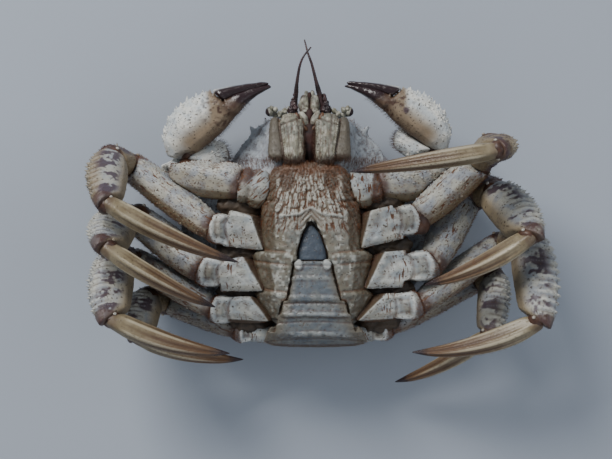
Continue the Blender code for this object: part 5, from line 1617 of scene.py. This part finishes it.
# %% Joint skin and knobs of each limb
for side in SIDES:
    for number in LEG_NUMBERS:
        leg = f"{side}_leg_{number}"
        nodes = [f"{leg}_{part}" for part in LEG_PARTS]
        folds, knobs = [], []
        for near, far in zip(nodes, nodes[1:]):
            joint = limb[far].start
            way = unit(limb[near].axis + limb[far].axis)
            reach = min(cap_radius(near, joint, way), cap_radius(far, joint, way))
            folds.append(ball(joint, (reach * 0.93, reach * 0.93, reach * 0.75), way, 28, (0.5, 0.9, number)))
            if near.endswith("coxa"):
                continue
            hinge = unit(np.cross(way, limb[near].outer))
            for turn in (-1, 1):
                knobs.append(ball(joint + hinge * turn * reach * 0.98, mm(0.60, 0.60, 0.42), hinge, 14))
        joined(folds, leg + "_joint_skin", "joint_skin")
        joined(knobs, leg + "_knobs", "knob")
    claw = f"{side}_claw"
    folds = []
    for near, far, size in (("coxa", "merus", 3.6), ("merus", "carpus", 3.4), ("carpus", "palm", 2.6)):
        spot = joint_between(f"{claw}_{near}", f"{claw}_{far}") - mm(0, 0, 1.0 if far == "palm" else 0)
        folds.append(ball(spot, mm(size, size, size), UP, 24, (0.5, 0.9, 3)))
    joined(folds, claw + "_joint_skin", "joint_skin")
    plates = [np.array(HIP_PLATES[f"{side}_leg_{number}"]) for number in LEG_NUMBERS[:3]]
    middles = [(plates[0][0] + plates[0][1]) / 2 + [0, 2.6, -1.2]]
    middles += [(rear[2] + rear[3] + front[0] + front[1]) / 4 for rear, front in zip(plates, plates[1:])]
    middles += [(plates[2][2] + plates[2][3]) / 2]
    folds = [ball(mm(*(spot - [0, 0, 5.4])), mm(7.6, 4.6, 3.0), UP, 48, (1.4, 1.1, 8)) for spot in middles]
    joined(folds, f"{side}_hip_skin", "hip_skin")
print("joints done")

# %% [markdown]
# ## Face
# Between the foot jaws lies the dark, bristly mouth, crossed in front by the jaws' jointed palps. Ahead of
# it a pale front plate carries the feelers, dark ringed whips on thick bases. The eyes are dark beads on
# short pale stalks, in sockets with white knobs.

# %% Mouth, palps and front plate
joined([ball(mm(0, 24.6, 25.0), mm(3.3, 7.6, 3.0), UP, 40, (1.0, 1.3, 5)),
        ball(mm(0, 33.0, 24.2), mm(1.6, 3.0, 1.5), UP, 24),
        ball(mm(0, 38.4, 20.6), mm(1.0, 3.2, 0.8), UP, 24)], "mouth", "mouth_skin")
palps = []
PALP_LINE = [(4.3, 34.4, 26.4), (3.3, 32.2, 26.9), (1.8, 30.3, 27.0), (0.7, 28.6, 26.8)]
PALP_RADII = (0.75, 0.80, 0.60)
for side in (-1, 1):
    line = [mm(side * x, y, z) for x, y, z in PALP_LINE]
    for a, b, radius in zip(line, line[1:], PALP_RADII):
        radii = (radius * MM, radius * MM, np.linalg.norm(b - a) * 0.56)
        palps.append(ball((a + b) / 2, radii, b - a, 18, (0.15, 0.6, 2)))
joined(palps, "jaw_palps", "palp_shell")
# Lobes of the front: (place, half sizes), on the crab's left side, in mm
FRONT_LOBES = [((1.7, 37.4, 21.5), (1.75, 3.3, 1.2)), ((0.9, 40.2, 20.0), (0.9, 1.9, 0.8)),
               ((1.3, 35.2, 23.2), (1.6, 1.3, 1.5)), ((9.2, 34.4, 22.4), (1.0, 1.1, 1.0)),
               ((10.9, 35.7, 22.0), (0.8, 0.9, 0.8)), ((8.0, 35.3, 21.8), (0.9, 1.1, 0.9)),
               ((12.1, 36.3, 21.9), (0.75, 0.85, 0.7)), ((6.6, 36.0, 21.6), (0.7, 0.9, 0.7))]
FRONT_FOLDS = (0.65, 0.7, 6)
front = []
for side in (-1, 1):
    for (x, y, z), radii in FRONT_LOBES:
        front.append(ball(mm(side * x, y, z), mm(*radii), UP, 20, FRONT_FOLDS))
    lean = (-side * 0.45, -0.9, 0)
    front.append(ball(mm(side * 1.75, 32.6, 26.2), mm(1.15, 0.9, 2.7), lean, 24, FRONT_FOLDS))
front = joined(front, "front_plate", "jaw_shell")
points = points_of(front)
blotch = patches(points, 0.9, 7, 0.55, 0.7)
blotch = 0.7 * blotch * (np.abs(points[:, 0]) < 6 * MM)
paint(front, "rust", np.clip(bump(points[:, 0], 0, 0.7 * MM) + blotch, 0, 1))
paint(front, "worn", patches(points, 0.8, 8, 0.5, 0.7))
# Dark hairy lumps beside the feelers: (place, half size), on the crab's left side, in mm
LUMPS = [((4.7, 40.4, 21.4), 0.50), ((5.0, 39.0, 21.8), 0.70), ((5.3, 37.4, 22.2), 0.95),
         ((5.8, 35.6, 22.6), 1.10), ((4.6, 36.0, 22.6), 0.95)]
lumps = [ball(mm(side * x, y, z), mm(radius, radius * 1.5, radius), UP, 28, (0.8, 0.40, 6))
         for side in (-1, 1) for (x, y, z), radius in LUMPS]
joined(lumps, "feeler_lumps", "feeler_shell")
print("face done, pieces joined", 3 + len(palps) + len(LUMPS) * 2)

# %% Feelers and eyes
FACE_CELL = 0.16
FEELER_RING = 0.75
EYE_RADIUS = 1.7
for side in SIDES:
    node = side + "_antenna"
    skin = grow_skin(node, FACE_CELL, 4)
    points = points_of(skin)
    ring = np.abs((points[:, 1] / (FEELER_RING * MM)) % 1.0 - 0.5)
    push_out(skin, 0.07 * MM * (rise(ring, 0.1, 0.4) - 0.3) * rise(points[:, 1], 38 * MM, 40 * MM)
             - 0.45 * MM * fall(points[:, 1], 38.5 * MM, 43 * MM))
    hand_over(skin, "feeler_shell", "feeler", node)
    node = side + "_eye"
    skin = grow_skin(node, FACE_CELL, 4)
    points = points_of(skin)
    outer = points[np.abs(points[:, 0]).argmax()]
    middle = outer - unit([np.sign(outer[0]), 0.4, 0.3]) * EYE_RADIUS * MM
    cornea = (points - middle) @ unit([np.sign(outer[0]), -0.35, 0.25])
    paint(skin, "tip", rise(cornea, 0.55 * MM, 0.75 * MM))
    paint(skin, "worn", patches(points, 1.0, 4, 0.4, 0.7))
    hand_over(skin, "jaw_shell", "eye", node)
print("skins in all", len(skins))
